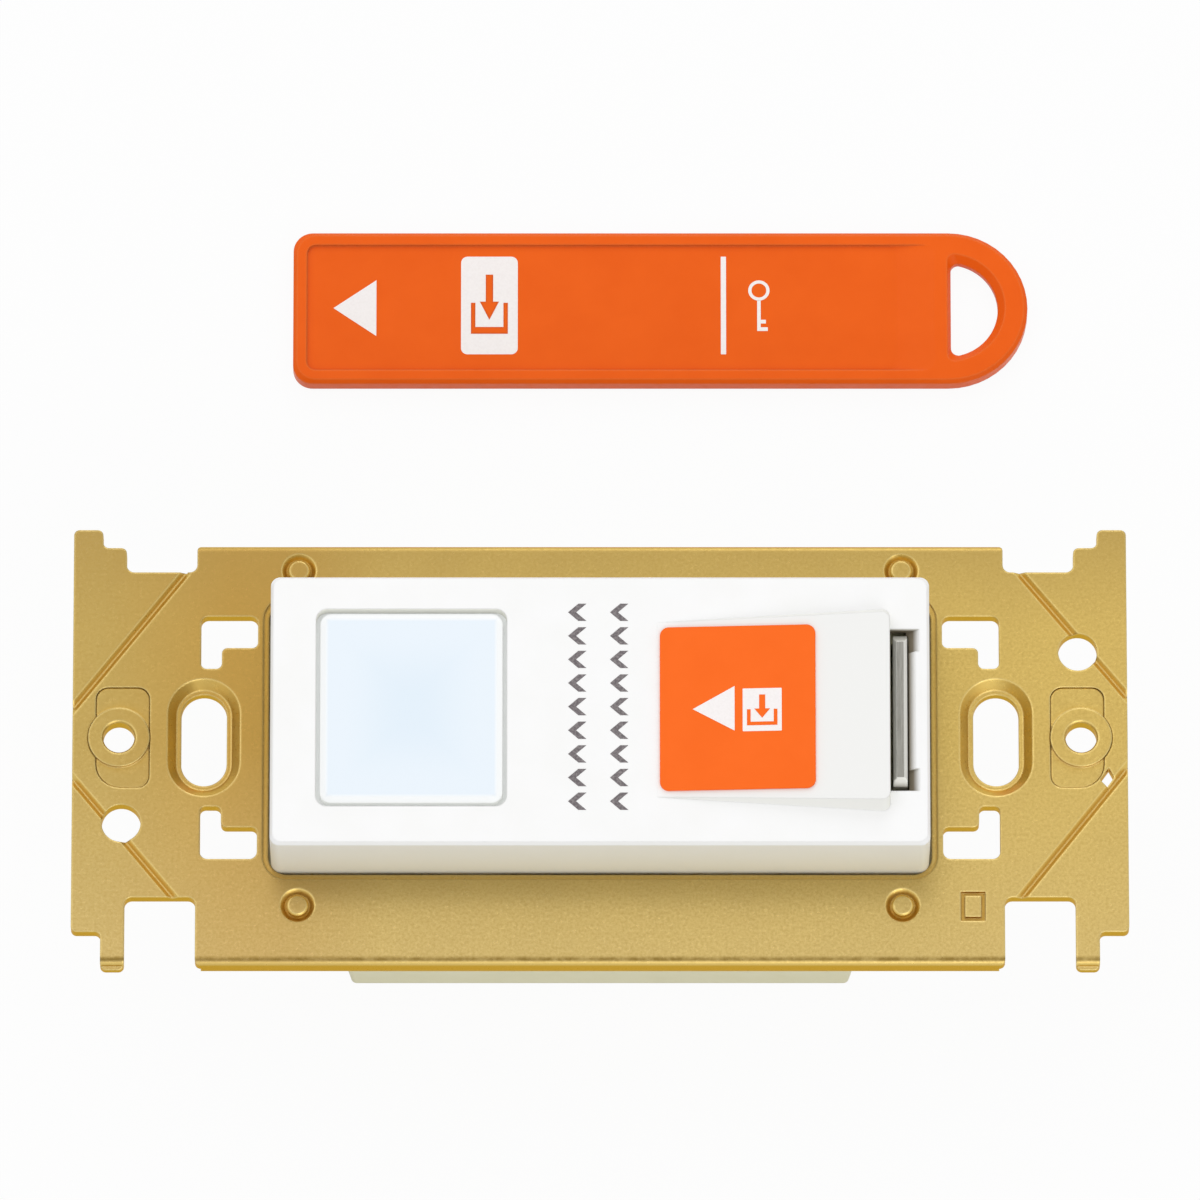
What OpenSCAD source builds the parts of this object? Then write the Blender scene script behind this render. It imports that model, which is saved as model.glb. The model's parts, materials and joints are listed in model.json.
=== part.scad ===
// Flush wall switch worked by a long key tag, on a stamped steel mounting frame.
// The origin is midway between the two box-screw slots, on the back face of the
// frame's plate. X runs along the frame, Y across it, and Z out of the wall.

/* [Mounting frame] */
// Thickness of the frame's plate
plate_t = 1.6; // [1.4:0.1:1.9]
// Length of the frame over its end tabs
frame_l = 111.2; // [110.6:0.2:116]
// Length of the frame's middle section
centre_l = 85.1; // [84.2:0.1:86.6]
// Distance from the axis to the top edge of the middle section
centre_top = 21.3; // [20.9:0.1:24]
// Distance from the axis to the bottom edge of the middle section
centre_bottom = 25; // [23:0.1:28]
// Height of the folded edges, with the plate
fold_h = 2.4; // [2:0.1:4]
// Thickness of the folded edges
fold_t = 1.2; // [0.9:0.1:1.4]
// Outer radius of the folded edges
fold_r = 0.7; // [0.3:0.1:0.9]
// Length of each outer corner tab along the frame
corner_tab_l = 3.1; // [2:0.1:4]
// Length of each step tab along the frame
step_tab_l = 2.5; // [1.6:0.1:3.4]
// Distance from the axis to the top of the corner tabs
corner_top = 23; // [21.6:0.1:25]
// Distance from the axis to the bottom of the corner tabs
corner_bottom = 21.4; // [19:0.1:23]
// Distance from the axis to the top of the step tabs
step_top = 21; // [19.4:0.1:21.4]
// Distance from the axis to the bottom of the step tabs
step_bottom = 25.4; // [23.4:0.1:28]
// Distance from the axis to the floor of the top notches
notch_top = 18.3; // [17.4:0.1:19]
// Distance from the axis to the floor of the bottom notches
notch_bottom = 17.6; // [16.8:0.1:18.6]
// Radius of the frame's outer corners
corner_r = 0.6; // [0.2:0.1:1]
// Radius in the bottoms of the notches
notch_r = 0.8; // [0.2:0.1:1.2]

/* [Frame holes] */
// Pitch of the two box-screw slots
slot_pitch = 83.5; // [82.9:0.1:84.1]
// Width of a box-screw slot
slot_w = 4.8; // [4.2:0.1:5.2]
// Length of a box-screw slot
slot_l = 10.1; // [8:0.1:11]
// Width of the sloping rim round a box-screw slot
dish_rim = 1.45; // [0.8:0.05:1.6]
// Depth of the sloping rim
dish_d = 1.1; // [0.6:0.1:1.3]
// Thickness of the sheet pressed back behind the sloping rim
dish_back_t = 0.7; // [0.4:0.1:0.8]
// Distance of a wall-screw hole from the middle, along the frame
wall_hole_x = 50.4; // [49.8:0.1:50.9]
// Distance of a wall-screw hole from the axis
wall_hole_y = 9.45; // [9:0.05:10.2]
// Diameter of a wall-screw hole
wall_hole_d = 4.1; // [3.6:0.1:4.5]
// Length of a corner window, along the frame
window_l = 6; // [4:0.1:6.2]
// Strip of metal between the housing's opening and a corner window
window_strip = 1.2; // [0.9:0.1:1.6]
// Height of the long arm of a corner window
window_arm_h = 3.5; // [2.5:0.1:4]
// Distance from the axis to the long arm of a corner window
window_y = 9.9; // [9.4:0.1:11]
// Width of the short arm of a corner window
window_leg_w = 2.2; // [1.6:0.1:3]
// Length of the short arm of a corner window
window_leg_l = 2.3; // [1:0.1:2.5]
// Width of a scored groove
groove_w = 1; // [0.6:0.1:1.2]
// Where a scored groove meets the notch, along the frame
groove_inner_x = 44.3; // [43.8:0.1:45.2]
// Distance from the axis to the outer end of a plain groove
groove_outer_y = 3.2; // [3:0.1:3.6]
// Distance from the axis to the outer end of a groove that crosses a wall-screw hole
crossed_groove_y = 4.5; // [4.2:0.1:4.8]
// Width of the coined edge round the housing's opening
coin_w = 0.6; // [0.3:0.05:0.8]
// Depth of the coined edge
coin_d = 0.35; // [0.15:0.05:0.6]
// Radius of the opening's corners
opening_r = 2; // [1.2:0.1:2.6]
// Width of the small square mark
mark_l = 2.6; // [1.8:0.1:3]
// Height of the small square mark
mark_w = 3.2; // [2:0.1:3.4]
// Place of the small square mark along the frame
mark_x = 39.2; // [38.4:0.1:40.4]
// Distance of the small square mark from the axis
mark_y = 18.6; // [17.4:0.1:19.4]
// Width of the sunk line round a mark or a rivet
moat_w = 0.45; // [0.3:0.05:0.5]
// Depth of the sunk line round a mark or a rivet
moat_d = 0.5; // [0.3:0.05:0.7]

/* [Plate-screw nuts] */
// Pitch of the two tapped bosses for the cover plate
nut_pitch = 101.4; // [100.9:0.1:101.9]
// Diameter of the tapped hole
tap_d = 3.3; // [2.8:0.1:3.5]
// Diameter of a boss
boss_d = 6.5; // [5.8:0.1:6.8]
// Height of a boss in front of the plate
boss_h = 0.15; // [0.05:0.05:0.6]
// Length of the oblong seat round a boss
seat_l = 11; // [10:0.1:11.6]
// Width of the oblong seat
seat_w = 5.6; // [5.2:0.1:5.8]
// Corner radius of the oblong seat
seat_r = 1.3; // [1:0.1:1.8]
// Radius of the seat's lower corner on the outer side
seat_cut_r = 2.6; // [1.3:0.1:2.7]
// How far the seat lies off the boss, towards the middle
seat_shift = 0.4; // [0:0.1:0.5]
// Depth of the oblong seat in the plate
seat_d = 0.6; // [0.4:0.05:0.7]
// How far the nut's foot lies below the plate's front
foot_drop = 0.15; // [0.1:0.05:0.25]
// Diameter of a nut's neck through the plate
neck_d = 5; // [4.6:0.1:5.4]
// Thickness of the caulked collar behind the plate
collar_t = 0.6; // [0.4:0.1:1]
// Countersink at the back of the tapped hole
tap_sink = 0.4; // [0.2:0.1:0.5]
// Countersink at the front of the tapped hole
tap_lead = 0.2; // [0.1:0.05:0.3]

/* [Rivets] */
// Distance of the rivets from the middle, along the frame
rivet_x = 31.8; // [31:0.1:32.6]
// Distance of the rivets from the axis
rivet_y = 18.5; // [18.1:0.1:18.7]
// Diameter of a rivet's head
rivet_head_d = 2.3; // [2:0.1:2.5]
// How far a rivet's head stands out of its dimple's floor
rivet_head_h = 0.65; // [0.5:0.05:0.75]
// Bevel round the flat top of a rivet's head
rivet_bevel = 0.2; // [0.1:0.05:0.3]
// Diameter of a rivet's shank
rivet_d = 1.4; // [1:0.1:1.7]

/* [Front cover] */
// Length of the front cover
cover_l = 69.2; // [69:0.1:70.2]
// Width of the front cover
cover_w = 29.5; // [29.1:0.1:30]
// Height of the face above the plate's back
face_z = 11.2; // [11:0.1:11.8]
// Thickness of the face
face_t = 1.5; // [1.4:0.1:1.6]
// Thickness of the cover's side walls
cover_wall = 1.5; // [1.2:0.1:1.5]
// Radius of the cover's upright corners
cover_r = 1; // [0.5:0.1:1.5]
// Bevel of the face's edge
face_bevel = 0.45; // [0.2:0.05:0.6]
// Gap between the cover and the frame's opening
cover_gap = 0.3; // [0.2:0.05:0.5]
// Width of a snap arm
snap_w = 5; // [4:0.1:6]
// Thickness of a snap arm
snap_t = 1; // [0.8:0.05:1.1]
// Length of a snap arm below the cover
snap_l = 5.8; // [5.4:0.1:7]
// How far a snap arm's hook reaches out
snap_hook = 1.1; // [0.8:0.1:1.4]
// Distance of the snap arms from the middle
snap_x = 14; // [12:0.1:15]

/* [Lit window] */
// Place of the window along the cover
lens_x = -19.8; // [-20:0.1:-19.3]
// Place of the window across the cover
lens_y = 0.27; // [-0.3:0.01:0.3]
// Length of the lens
lens_l = 19.15; // [17:0.05:19.4]
// Width of the lens
lens_w = 20.8; // [18:0.05:21]
// Bevel round the lens
lens_bevel = 0.6; // [0.5:0.05:1.4]
// Height of the lens's bevel
lens_bevel_h = 0.35; // [0.2:0.05:0.8]
// Corner radius of the lens
lens_r = 1.2; // [1.1:0.05:1.6]
// Gap round the lens
lens_gap = 0.45; // [0.4:0.01:0.7]
// How far the lens's flange reaches under the face
lens_lap = 0.5; // [0.3:0.05:0.6]
// Thickness of the lens's flange
lens_flange_t = 1.3; // [1:0.1:1.6]
// Wall of the light box
light_wall = 0.8; // [0.6:0.1:1]
// Thickness of the diffusing sheet
diffuser_t = 0.6; // [0.4:0.1:1]

/* [Key tag] */
// Length of the key tag
key_l = 79; // [74:0.5:84]
// Width of the key tag
key_w = 17.1; // [16:0.1:17.2]
// Thickness of the key tag's rim
key_t = 2.5; // [2.2:0.05:2.6]
// Depth of the sunk panel on each side of the key tag
key_panel_d = 0.3; // [0.2:0.05:0.4]
// Width of the key tag's rim
key_rim = 1.45; // [1.2:0.05:2.2]
// Corner radius at the key tag's blunt end
key_r = 2.1; // [1:0.1:3]
// Rounding of the key tag's long edges
key_edge = 0.4; // [0.2:0.05:0.7]
// Where the key tag's sunk panel stops, measured from its blunt end
key_panel_l = 69; // [60:0.1:69.2]
// Length over which the sunk panel rises to the face again
key_panel_fade = 4; // [3:0.5:14]
// Radius of the loop hole's round side
loop_r = 5.35; // [4.6:0.05:5.6]
// Radius of the loop hole's two corners
loop_corner_r = 0.8; // [0.4:0.05:1.2]
// Width of the sloping edge round the loop hole
loop_sink = 0.8; // [0.3:0.05:1]
// Blunt end of the key tag as it lies beside the switch
key_x = -33; // [-40:0.5:-20]
// Middle of the key tag as it lies beside the switch
key_y = 56.7; // [50:0.1:70]

/* [Key channel] */
// Angle of the key channel to the face
key_angle = 45; // [44:0.5:46]
// How far the key tag goes in
key_stroke = 46.2; // [44:0.1:46.5]
// Clearance over and under the key tag
key_clear = 0.18; // [0.1:0.01:0.25]
// Clearance at each side of the key tag
key_side_clear = 0.35; // [0.2:0.05:0.5]
// Place of the slot's lip along the cover
lip_x = 30.4; // [30.1:0.1:30.5]
// Thickness of the slot's lip
lip_t = 0.8; // [0.6:0.05:1]
// Height of the ramp at the lip
ramp_h = 1.7; // [1.5:0.1:1.8]
// Where the ramp starts
ramp_x = 6; // [4:0.1:6.2]
// Half width of the ramp's foot where it starts
ramp_start_y = 9.6; // [9.1:0.1:10]
// Half width of the ramp's foot at the lip
ramp_end_y = 11.1; // [10.6:0.1:12]
// How far the ramp's flanks lean in at the lip
ramp_lean = 0.8; // [0.4:0.1:1.2]
// Radius of the ramp's two corners at the lip
ramp_r = 0.8; // [0.4:0.1:1.2]
// Wall of the key channel
guide_t = 1.2; // [1:0.05:1.3]
// Distance of the inner lug screws from the mouth, along the channel
lug_deep_x = 40; // [38:0.5:41]
// Distance of the outer lug screws from the mouth, along the channel
lug_near_x = 12; // [11:0.5:16]
// How far the lugs reach out from the axis
lug_y = 12.9; // [12.7:0.1:13]

/* [Label] */
// Length of the label
label_l = 16.35; // [12:0.05:16.6]
// Width of the label
label_w = 17.95; // [14:0.05:18.2]
// Corner radius of the label
label_r = 0.95; // [0.4:0.05:1.6]
// Thickness of the label
label_t = 0.25; // [0.15:0.05:0.4]
// Distance from the ramp's start to the label
label_inset = 0.3; // [0.2:0.05:0.5]

/* [Shutter] */
// Thickness of the shutter bar
shutter_t = 1.5; // [1.2:0.05:1.55]
// Width of the shutter bar
shutter_w = 16.6; // [15:0.1:16.8]
// Place of the shutter's near side along the cover
shutter_x = 30.75; // [30.65:0.05:30.8]
// Height of the shutter's top edge above the face
shutter_top = 0.2; // [-0.2:0.05:0.4]
// Height of the shutter bar
shutter_h = 6.2; // [6:0.1:6.4]
// Bevel along the shutter's top edge
shutter_bevel = 0.35; // [0.2:0.05:0.5]
// Bevel at the two ends of the shutter's top edge
shutter_end_bevel = 0.8; // [0.4:0.1:1.2]
// How far the shutter goes down
shutter_stroke = 3.2; // [3.1:0.05:3.3]
// Clearance round the shutter in its cage
shutter_clear = 0.15; // [0.1:0.01:0.2]
// How far the shutter's ears stand out
ear_w = 0.9; // [0.6:0.1:1]
// Height of the shutter's ears
ear_h = 1.4; // [1:0.1:1.5]
// Wire of the shutter's spring
spring_wire = 0.32; // [0.25:0.01:0.35]
// Outer diameter of the shutter's spring
spring_d = 1.5; // [1.3:0.05:1.55]
// Turns of the shutter's spring
spring_turns = 5; // [4:1:6]

/* [Rear housing] */
// Thickness of the flange behind the frame
flange_t = 2; // [1.6:0.1:2.4]
// Metal-free edge of the flange outside the rivets
rivet_edge = 1.3; // [1.2:0.05:1.35]
// How far the flange reaches past the opening's ends
flange_lap = 0.5; // [0.3:0.05:0.7]
// Depth of the housing behind the plate
rear_z = 26.6; // [26.4:0.1:28]
// Length of the housing at its back
body_l = 53; // [52:0.1:53.4]
// Width of the housing at its back
body_w = 37; // [36.4:0.1:37.4]
// How much longer the housing is at its flange, at each end
body_draft = 2.3; // [1:0.1:2.5]
// Corner radius of the housing
body_r = 0.6; // [0.4:0.1:2]
// Wall of the housing
body_wall = 1.5; // [1.2:0.1:1.6]
// Thickness of the rear cover
rear_cover_t = 1.8; // [1.5:0.1:1.9]
// Gap round the rear cover
rear_cover_gap = 0.12; // [0.08:0.01:0.2]
// Diameter of the cover screws' heads
screw_head_d = 3.6; // [3:0.1:3.8]
// Diameter of the cover screws' shanks
screw_d = 2; // [1.6:0.1:2.2]
// Length of the cover screws
screw_l = 8; // [6:0.5:9]
// Distance of the cover screws from the housing's inner end walls
screw_inset_x = 2.6; // [2.5:0.1:2.9]
// Distance of the cover screws from the housing's inner side walls
screw_inset_y = 2.4; // [2.3:0.1:2.5]
// Gap between the key channel and the housing's mouth
guide_clear = 0.3; // [0.2:0.05:0.3]
// Thickness of the ribs that carry the key channel
rib_t = 1.5; // [1.2:0.1:2]

/* [Terminals] */
// Diameter of a wire entry in the terminal block
entry_d = 2.3; // [2:0.1:2.4]
// Diameter of a wire entry in the rear cover
entry_cover_d = 3.2; // [2.8:0.1:3.4]
// Distance of the wire entries from the terminal block's end
entry_inset = 10.8; // [10.6:0.1:11]
// Pitch of the two wire entries of one pole
entry_pitch = 4.7; // [4.5:0.1:4.9]
// Distance of the outer wire entries from the terminal block's side wall
entry_side = 2.2; // [1.9:0.1:2.4]
// Length of the terminal block
block_l = 14.4; // [14.2:0.1:14.5]
// Gap between the terminal block and the screw posts
block_clear = 0.3; // [0.2:0.05:0.5]
// Height of the terminal block
block_h = 14.6; // [13:0.1:16]
// Wall of the terminal block
block_wall = 1.3; // [1.1:0.1:1.4]
// Thickness of the terminal block's floor
block_floor = 2.2; // [1.8:0.1:2.6]
// Thickness of a busbar
busbar_t = 0.8; // [0.6:0.1:0.9]
// Thickness of a leaf spring
leaf_t = 0.35; // [0.25:0.05:0.4]

/* [Circuit board] */
// Thickness of the circuit board
board_t = 1.6; // [1:0.1:1.7]
// Left end of the circuit board
board_x0 = -32.4; // [-32.8:0.1:-31]
// Right end of the circuit board
board_x1 = 12; // [11.6:0.1:12.6]
// Width of the circuit board
board_w = 25.2; // [24.8:0.1:25.3]
// Length of the relay
relay_l = 12; // [10:0.1:12.4]
// Width of the relay
relay_w = 15.4; // [12:0.1:15.6]
// Height of the relay
relay_h = 7.4; // [6:0.1:7.8]
// Diameter of the capacitor
capacitor_d = 5; // [4:0.1:5.2]
// Height of the capacitor
capacitor_h = 7; // [5:0.1:7.6]
// Length of a light emitting diode
led_l = 3.5; // [2.5:0.1:4]
// Width of a light emitting diode
led_w = 2.8; // [2:0.1:3.4]
// Height of a light emitting diode
led_h = 1.2; // [0.8:0.1:1.6]

/* [Microswitch] */
// Length of the microswitch
micro_l = 13.4; // [13.2:0.1:13.6]
// Thickness of the microswitch
micro_w = 5.8; // [5.6:0.1:5.9]
// Height of the microswitch
micro_h = 6.5; // [6.2:0.1:6.6]
// Deep end of the microswitch, along the channel from the mouth
micro_deep_x = 46.2; // [46:0.1:46.3]
// Gap between the microswitch and the channel's wall
micro_lift = 0.87; // [0.8:0.01:0.95]
// Distance of the lever's pin from the mouth, along the channel
hinge_depth = 34.4; // [34.3:0.05:34.5]
// Height of the lever's pin above the channel's wall
hinge_drop = 0.3; // [0.25:0.01:0.35]
// Diameter of the lever's pin
hinge_d = 1; // [0.9:0.05:1.1]
// Running clearance of the lever on its pin
hinge_clear = 0.05; // [0.03:0.01:0.08]
// Length of the lever from its pin
lever_l = 10; // [9.6:0.1:10.2]
// Thickness of the lever
lever_t = 0.4; // [0.3:0.05:0.45]
// Width of the lever
lever_w = 3.4; // [2.8:0.1:3.6]
// How far the lever swings
lever_swing = 13; // [12.5:0.25:13.5]
// Distance of the plunger from the lever's pin
plunger_reach = 5; // [4.8:0.1:5.2]
// Diameter of the plunger
plunger_d = 1.5; // [1.3:0.1:1.6]
// Gap between the plunger and the lever
plunger_gap = 0.2; // [0.15:0.01:0.25]

/* [Hidden] */
$fn = 48;

// Clearance that keeps screws, pins and rims off what they sit in
fit_gap = 0.05;
// Overlap that lets a cut run past a face
over = 1;
// A length greater than any in the part
far = 200;
// How far a rib, post or lug reaches into the wall that carries it
bite = 0.2;

plated = [0.78, 0.66, 0.37];
white = [0.97, 0.97, 0.96];
beige = [0.86, 0.84, 0.76];
steel = [0.62, 0.63, 0.64];
brass = [0.80, 0.66, 0.36];

opening_l = cover_l + 2 * cover_gap;
opening_w = cover_w + 2 * cover_gap;
end_x = frame_l / 2;
tab_x = end_x - corner_tab_l;
step_x = tab_x - step_tab_l;
mid_x = centre_l / 2;
flange_l = opening_l + 2 * flange_lap;
flange_w = 2 * (rivet_y + rivet_edge);
ceiling_z = face_z - face_t;

cavity_l = body_l - 2 * body_wall;
cavity_w = body_w - 2 * body_wall;
rear_inner_z = rear_z - rear_cover_t;
// The conical dimple round a rivet's head: its width at the face and at its floor
rivet_dish_d = rivet_head_d + 2 * moat_w + 0.5;
rivet_floor_d = rivet_head_d + 0.3;
// A rivet's spread tail behind the flange, and the room that the housing leaves for it
rivet_tail_d = 2.4;
rivet_tail_h = 0.6;
rivet_tail_room = 0.3;
// The snap arms: outer face, height of the hook's slope and of its catch, gap at its ledge
snap_y = cover_w / 2 - cover_wall + 0.6;
snap_slope_h = 0.9;
snap_catch_h = 1.4;
snap_ledge_gap = 0.15;
screw_x = cavity_l / 2 - screw_inset_x;
screw_y = cavity_w / 2 - screw_inset_y;
screw_post_x = screw_x - 2.4;
screw_post_y = screw_y - 2.2;
rib_near_x = 16;
rib_deep_x = 4;
// Grooves across the back of the rear cover
groove_x0 = 6;
groove_x1 = 18;
groove_pitch = 3;
back_groove_l = 18;
back_groove_w = 1.2;
back_groove_d = 0.5;
// The cover screws: depth of their seats, height of a head, how far it lies under the back
screw_seat_d = 1.1;
screw_head_h = 0.9;
screw_head_sink = 0.2;
screw_start = screw_head_sink + screw_head_h - fit_gap;
driver_l = 2;
driver_w = 0.5;
driver_d = 0.7;

// The key channel: half its height, half its width, and the middle of its mouth
channel_h = key_t / 2 + key_clear;
channel_y = key_w / 2 + key_side_clear;
lip_under_z = face_z + ramp_h - lip_t;
mouth_x = lip_x + channel_h * sin(key_angle);
mouth_z = lip_under_z - channel_h * cos(key_angle);
stop_gap = 0.3;
channel_l = key_stroke + stop_gap;
guide_y = channel_y + guide_t;
guide_out = channel_h + guide_t;
// Distance from the mouth to the first edge of each guide, along the channel
guide_upper_start = 2.5;
guide_lower_start = 3.6;

ramp_l = lip_x - ramp_x;
ramp_angle = atan(ramp_h / ramp_l);
label_x = label_inset + label_l / 2;

shutter_top_z = face_z + shutter_top;
shutter_bottom_z = shutter_top_z - shutter_h;
shutter_mid_x = shutter_x + shutter_t / 2;
cage_x0 = shutter_x - shutter_clear - 1.4;
cage_x1 = shutter_x + shutter_t + shutter_clear + 0.6;
cage_top_z = 7.4;
cage_y = guide_y + 0.2;
cage_ear_z = shutter_bottom_z + ear_h + 0.25;
spring_floor_z = 0.4;

light_l = lens_l + 2 * lens_gap + 0.3;
light_w = lens_w + 2 * lens_gap + 0.3;
lens_flange_l = lens_l + 2 * lens_gap + 2 * lens_lap;
lens_flange_w = lens_w + 2 * lens_gap + 2 * lens_lap;
light_top_z = ceiling_z - lens_flange_t;

micro_z = guide_out + micro_lift;
hinge_z = guide_out - hinge_drop;
cheek_t = 1.2;
cheek_h = 6.4;
micro_pin_d = 1.5;
micro_pin_x = [3.2, 8.8];
micro_pin_z = 4.4;
micro_pin_head_h = 0.6;
lead_x = -1.8;
lead_pitch = 2.8;
lead_w = 0.7;
lead_l = 16;
window_half_y = micro_w / 2 + 0.2;

block_w = 2 * (screw_post_y - block_clear);
block_x0 = -cavity_l / 2 + block_clear;
block_x1 = block_x0 + block_l;
entry_x = block_x0 + entry_inset;
entry_outer_y = block_w / 2 - block_wall - entry_side;
entry_inner_y = entry_outer_y - entry_pitch;
chamber_w = block_w / 2 - 1.5 * block_wall;
chamber_y = (block_w / 2 + 0.5 * block_wall - block_wall) / 2;
busbar_x = block_x1 - block_wall - busbar_t;
// What stands on the chamber's floor keeps this height
chamber_floor_z = -rear_inner_z + block_floor + 0.1;
leaf_h = 8;
leaf_tip_h = 3.4;
arch_r = 2.3;

// What stands on the board, the screws of the board and of the key channel, and their slots
driver_t = 0.5;
relay_x = -1.2;
relay_y = -2;
capacitor_x = 1.5;
capacitor_y = 9.1;
board_screw_d = 1.6;
board_screw_l = 3.6;
board_screw_x = 9.7;
board_screw_y = 10.8;
board_head_d = 3;
board_head_h = 1;
board_boss_l = 3.4;
board_boss_w = 3;
screw_room = 0.4;
lug_t = 1.8;
lug_l = 4;
guide_screw_d = 1.4;
guide_screw_l = 1.6;
guide_head_d = 2.4;
guide_head_h = 0.9;

// A rectangle with round corners, about its middle
module rounded_rect(l, w, r) {
    square([l - 2 * r, w], center = true);
    square([l, w - 2 * r], center = true);
    for (x = [-1, 1], y = [-1, 1])
        translate([x * (l / 2 - r), y * (w / 2 - r)]) circle(r);
}

// A block with round upright corners, from one height to another
module rounded_block(l, w, r, z0, z1) {
    translate([0, 0, z0]) linear_extrude(z1 - z0) rounded_rect(l, w, r);
}

// A plain block between two corners
module block(low, high) {
    translate(low) cube(high - low);
}

// A slot shape with round ends, its length along Y
module oblong(w, l) {
    square([w, l - w], center = true);
    for (y = [-1, 1]) translate([0, y * (l - w) / 2]) circle(w / 2);
}

// Points of an outline with square corners, each rounded by the third value of its point
function unit(v) = v / norm(v);
function turned_corner(before, here, after, steps = 6) =
    let (
        corner = [here[0], here[1]],
        r = here[2],
        back = unit([before[0], before[1]] - corner),
        ahead = unit([after[0], after[1]] - corner),
        middle = corner + r * (back + ahead)
    )
    [for (i = [0:steps]) middle - r * (ahead * cos(90 * i / steps) + back * sin(90 * i / steps))];
function rounded_outline(points) = [
    for (i = [0:len(points) - 1])
        each turned_corner(
            points[(i + len(points) - 1) % len(points)],
            points[i],
            points[(i + 1) % len(points)]
        )
];
function mirrored(points) = [for (i = [len(points) - 1:-1:0]) [-points[i][0], points[i][1], points[i][2]]];

// The bar that rounds one long edge off: its round side faces down and out
module edge_cutter(l, r) {
    rotate([90, 0, 90]) translate([0, 0, -l / 2]) linear_extrude(l) difference() {
        square(r + over);
        circle(r);
    }
}

// Places children in the frame of the key channel: X out of the mouth, Z up from the key
module in_channel() {
    translate([mouth_x, 0, mouth_z]) rotate([0, -key_angle, 0]) children();
}

// Places children on the ramp's slope, from where it starts
module on_ramp() {
    translate([ramp_x, 0, face_z]) rotate([0, -ramp_angle, 0]) children();
}

// One half of the frame's outline, walked upwards
function frame_side() = [
    [mid_x, -centre_bottom, corner_r],
    [mid_x, -notch_bottom, notch_r],
    [step_x, -notch_bottom, notch_r],
    [step_x, -step_bottom, corner_r],
    [tab_x, -step_bottom, corner_r],
    [tab_x, -corner_bottom, corner_r],
    [end_x, -corner_bottom, corner_r],
    [end_x, corner_top, corner_r],
    [tab_x, corner_top, corner_r],
    [tab_x, step_top, corner_r],
    [step_x, step_top, corner_r],
    [step_x, notch_top, notch_r],
    [mid_x, notch_top, notch_r],
    [mid_x, centre_top, corner_r]
];

// One corner window, in the quarter where X and Y are positive
module corner_window() {
    x0 = opening_l / 2 + window_strip;
    x1 = x0 + window_l;
    polygon(rounded_outline([
        [x0, window_y, corner_r],
        [x1 - window_leg_w, window_y, corner_r],
        [x1 - window_leg_w, window_y - window_leg_l, corner_r],
        [x1, window_y - window_leg_l, corner_r],
        [x1, window_y + window_arm_h, notch_r],
        [x0, window_y + window_arm_h, notch_r]
    ]));
}

// A scored groove between two places on the plate's front
module scored_groove(from, to) {
    run = to - from;
    translate([from[0], from[1], plate_t])
        rotate([0, 0, atan2(run[1], run[0])])
        rotate([45, 0, 0])
        translate([-over, -groove_w / sqrt(8), -groove_w / sqrt(8)])
        cube([norm(run) + 2 * over, groove_w / sqrt(2), groove_w / sqrt(2)]);
}

// The sloping rim of a box-screw slot
module dish() {
    bottom_r = slot_w / 2 + dish_rim / 3;
    top_r = slot_w / 2 + dish_rim;
    reach = (slot_l - slot_w) / 2;
    grow = (top_r - bottom_r) / dish_d;
    translate([0, 0, plate_t - dish_d]) {
        for (y = [-1, 1]) translate([0, y * reach, 0])
            cylinder(r1 = bottom_r, r2 = top_r + grow * over, h = dish_d + over);
        rotate([90, 0, 0]) translate([0, 0, -reach]) linear_extrude(2 * reach) polygon([
            [-bottom_r, 0], [bottom_r, 0],
            [top_r + grow * over, dish_d + over], [-top_r - grow * over, dish_d + over]
        ]);
    }
}

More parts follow.
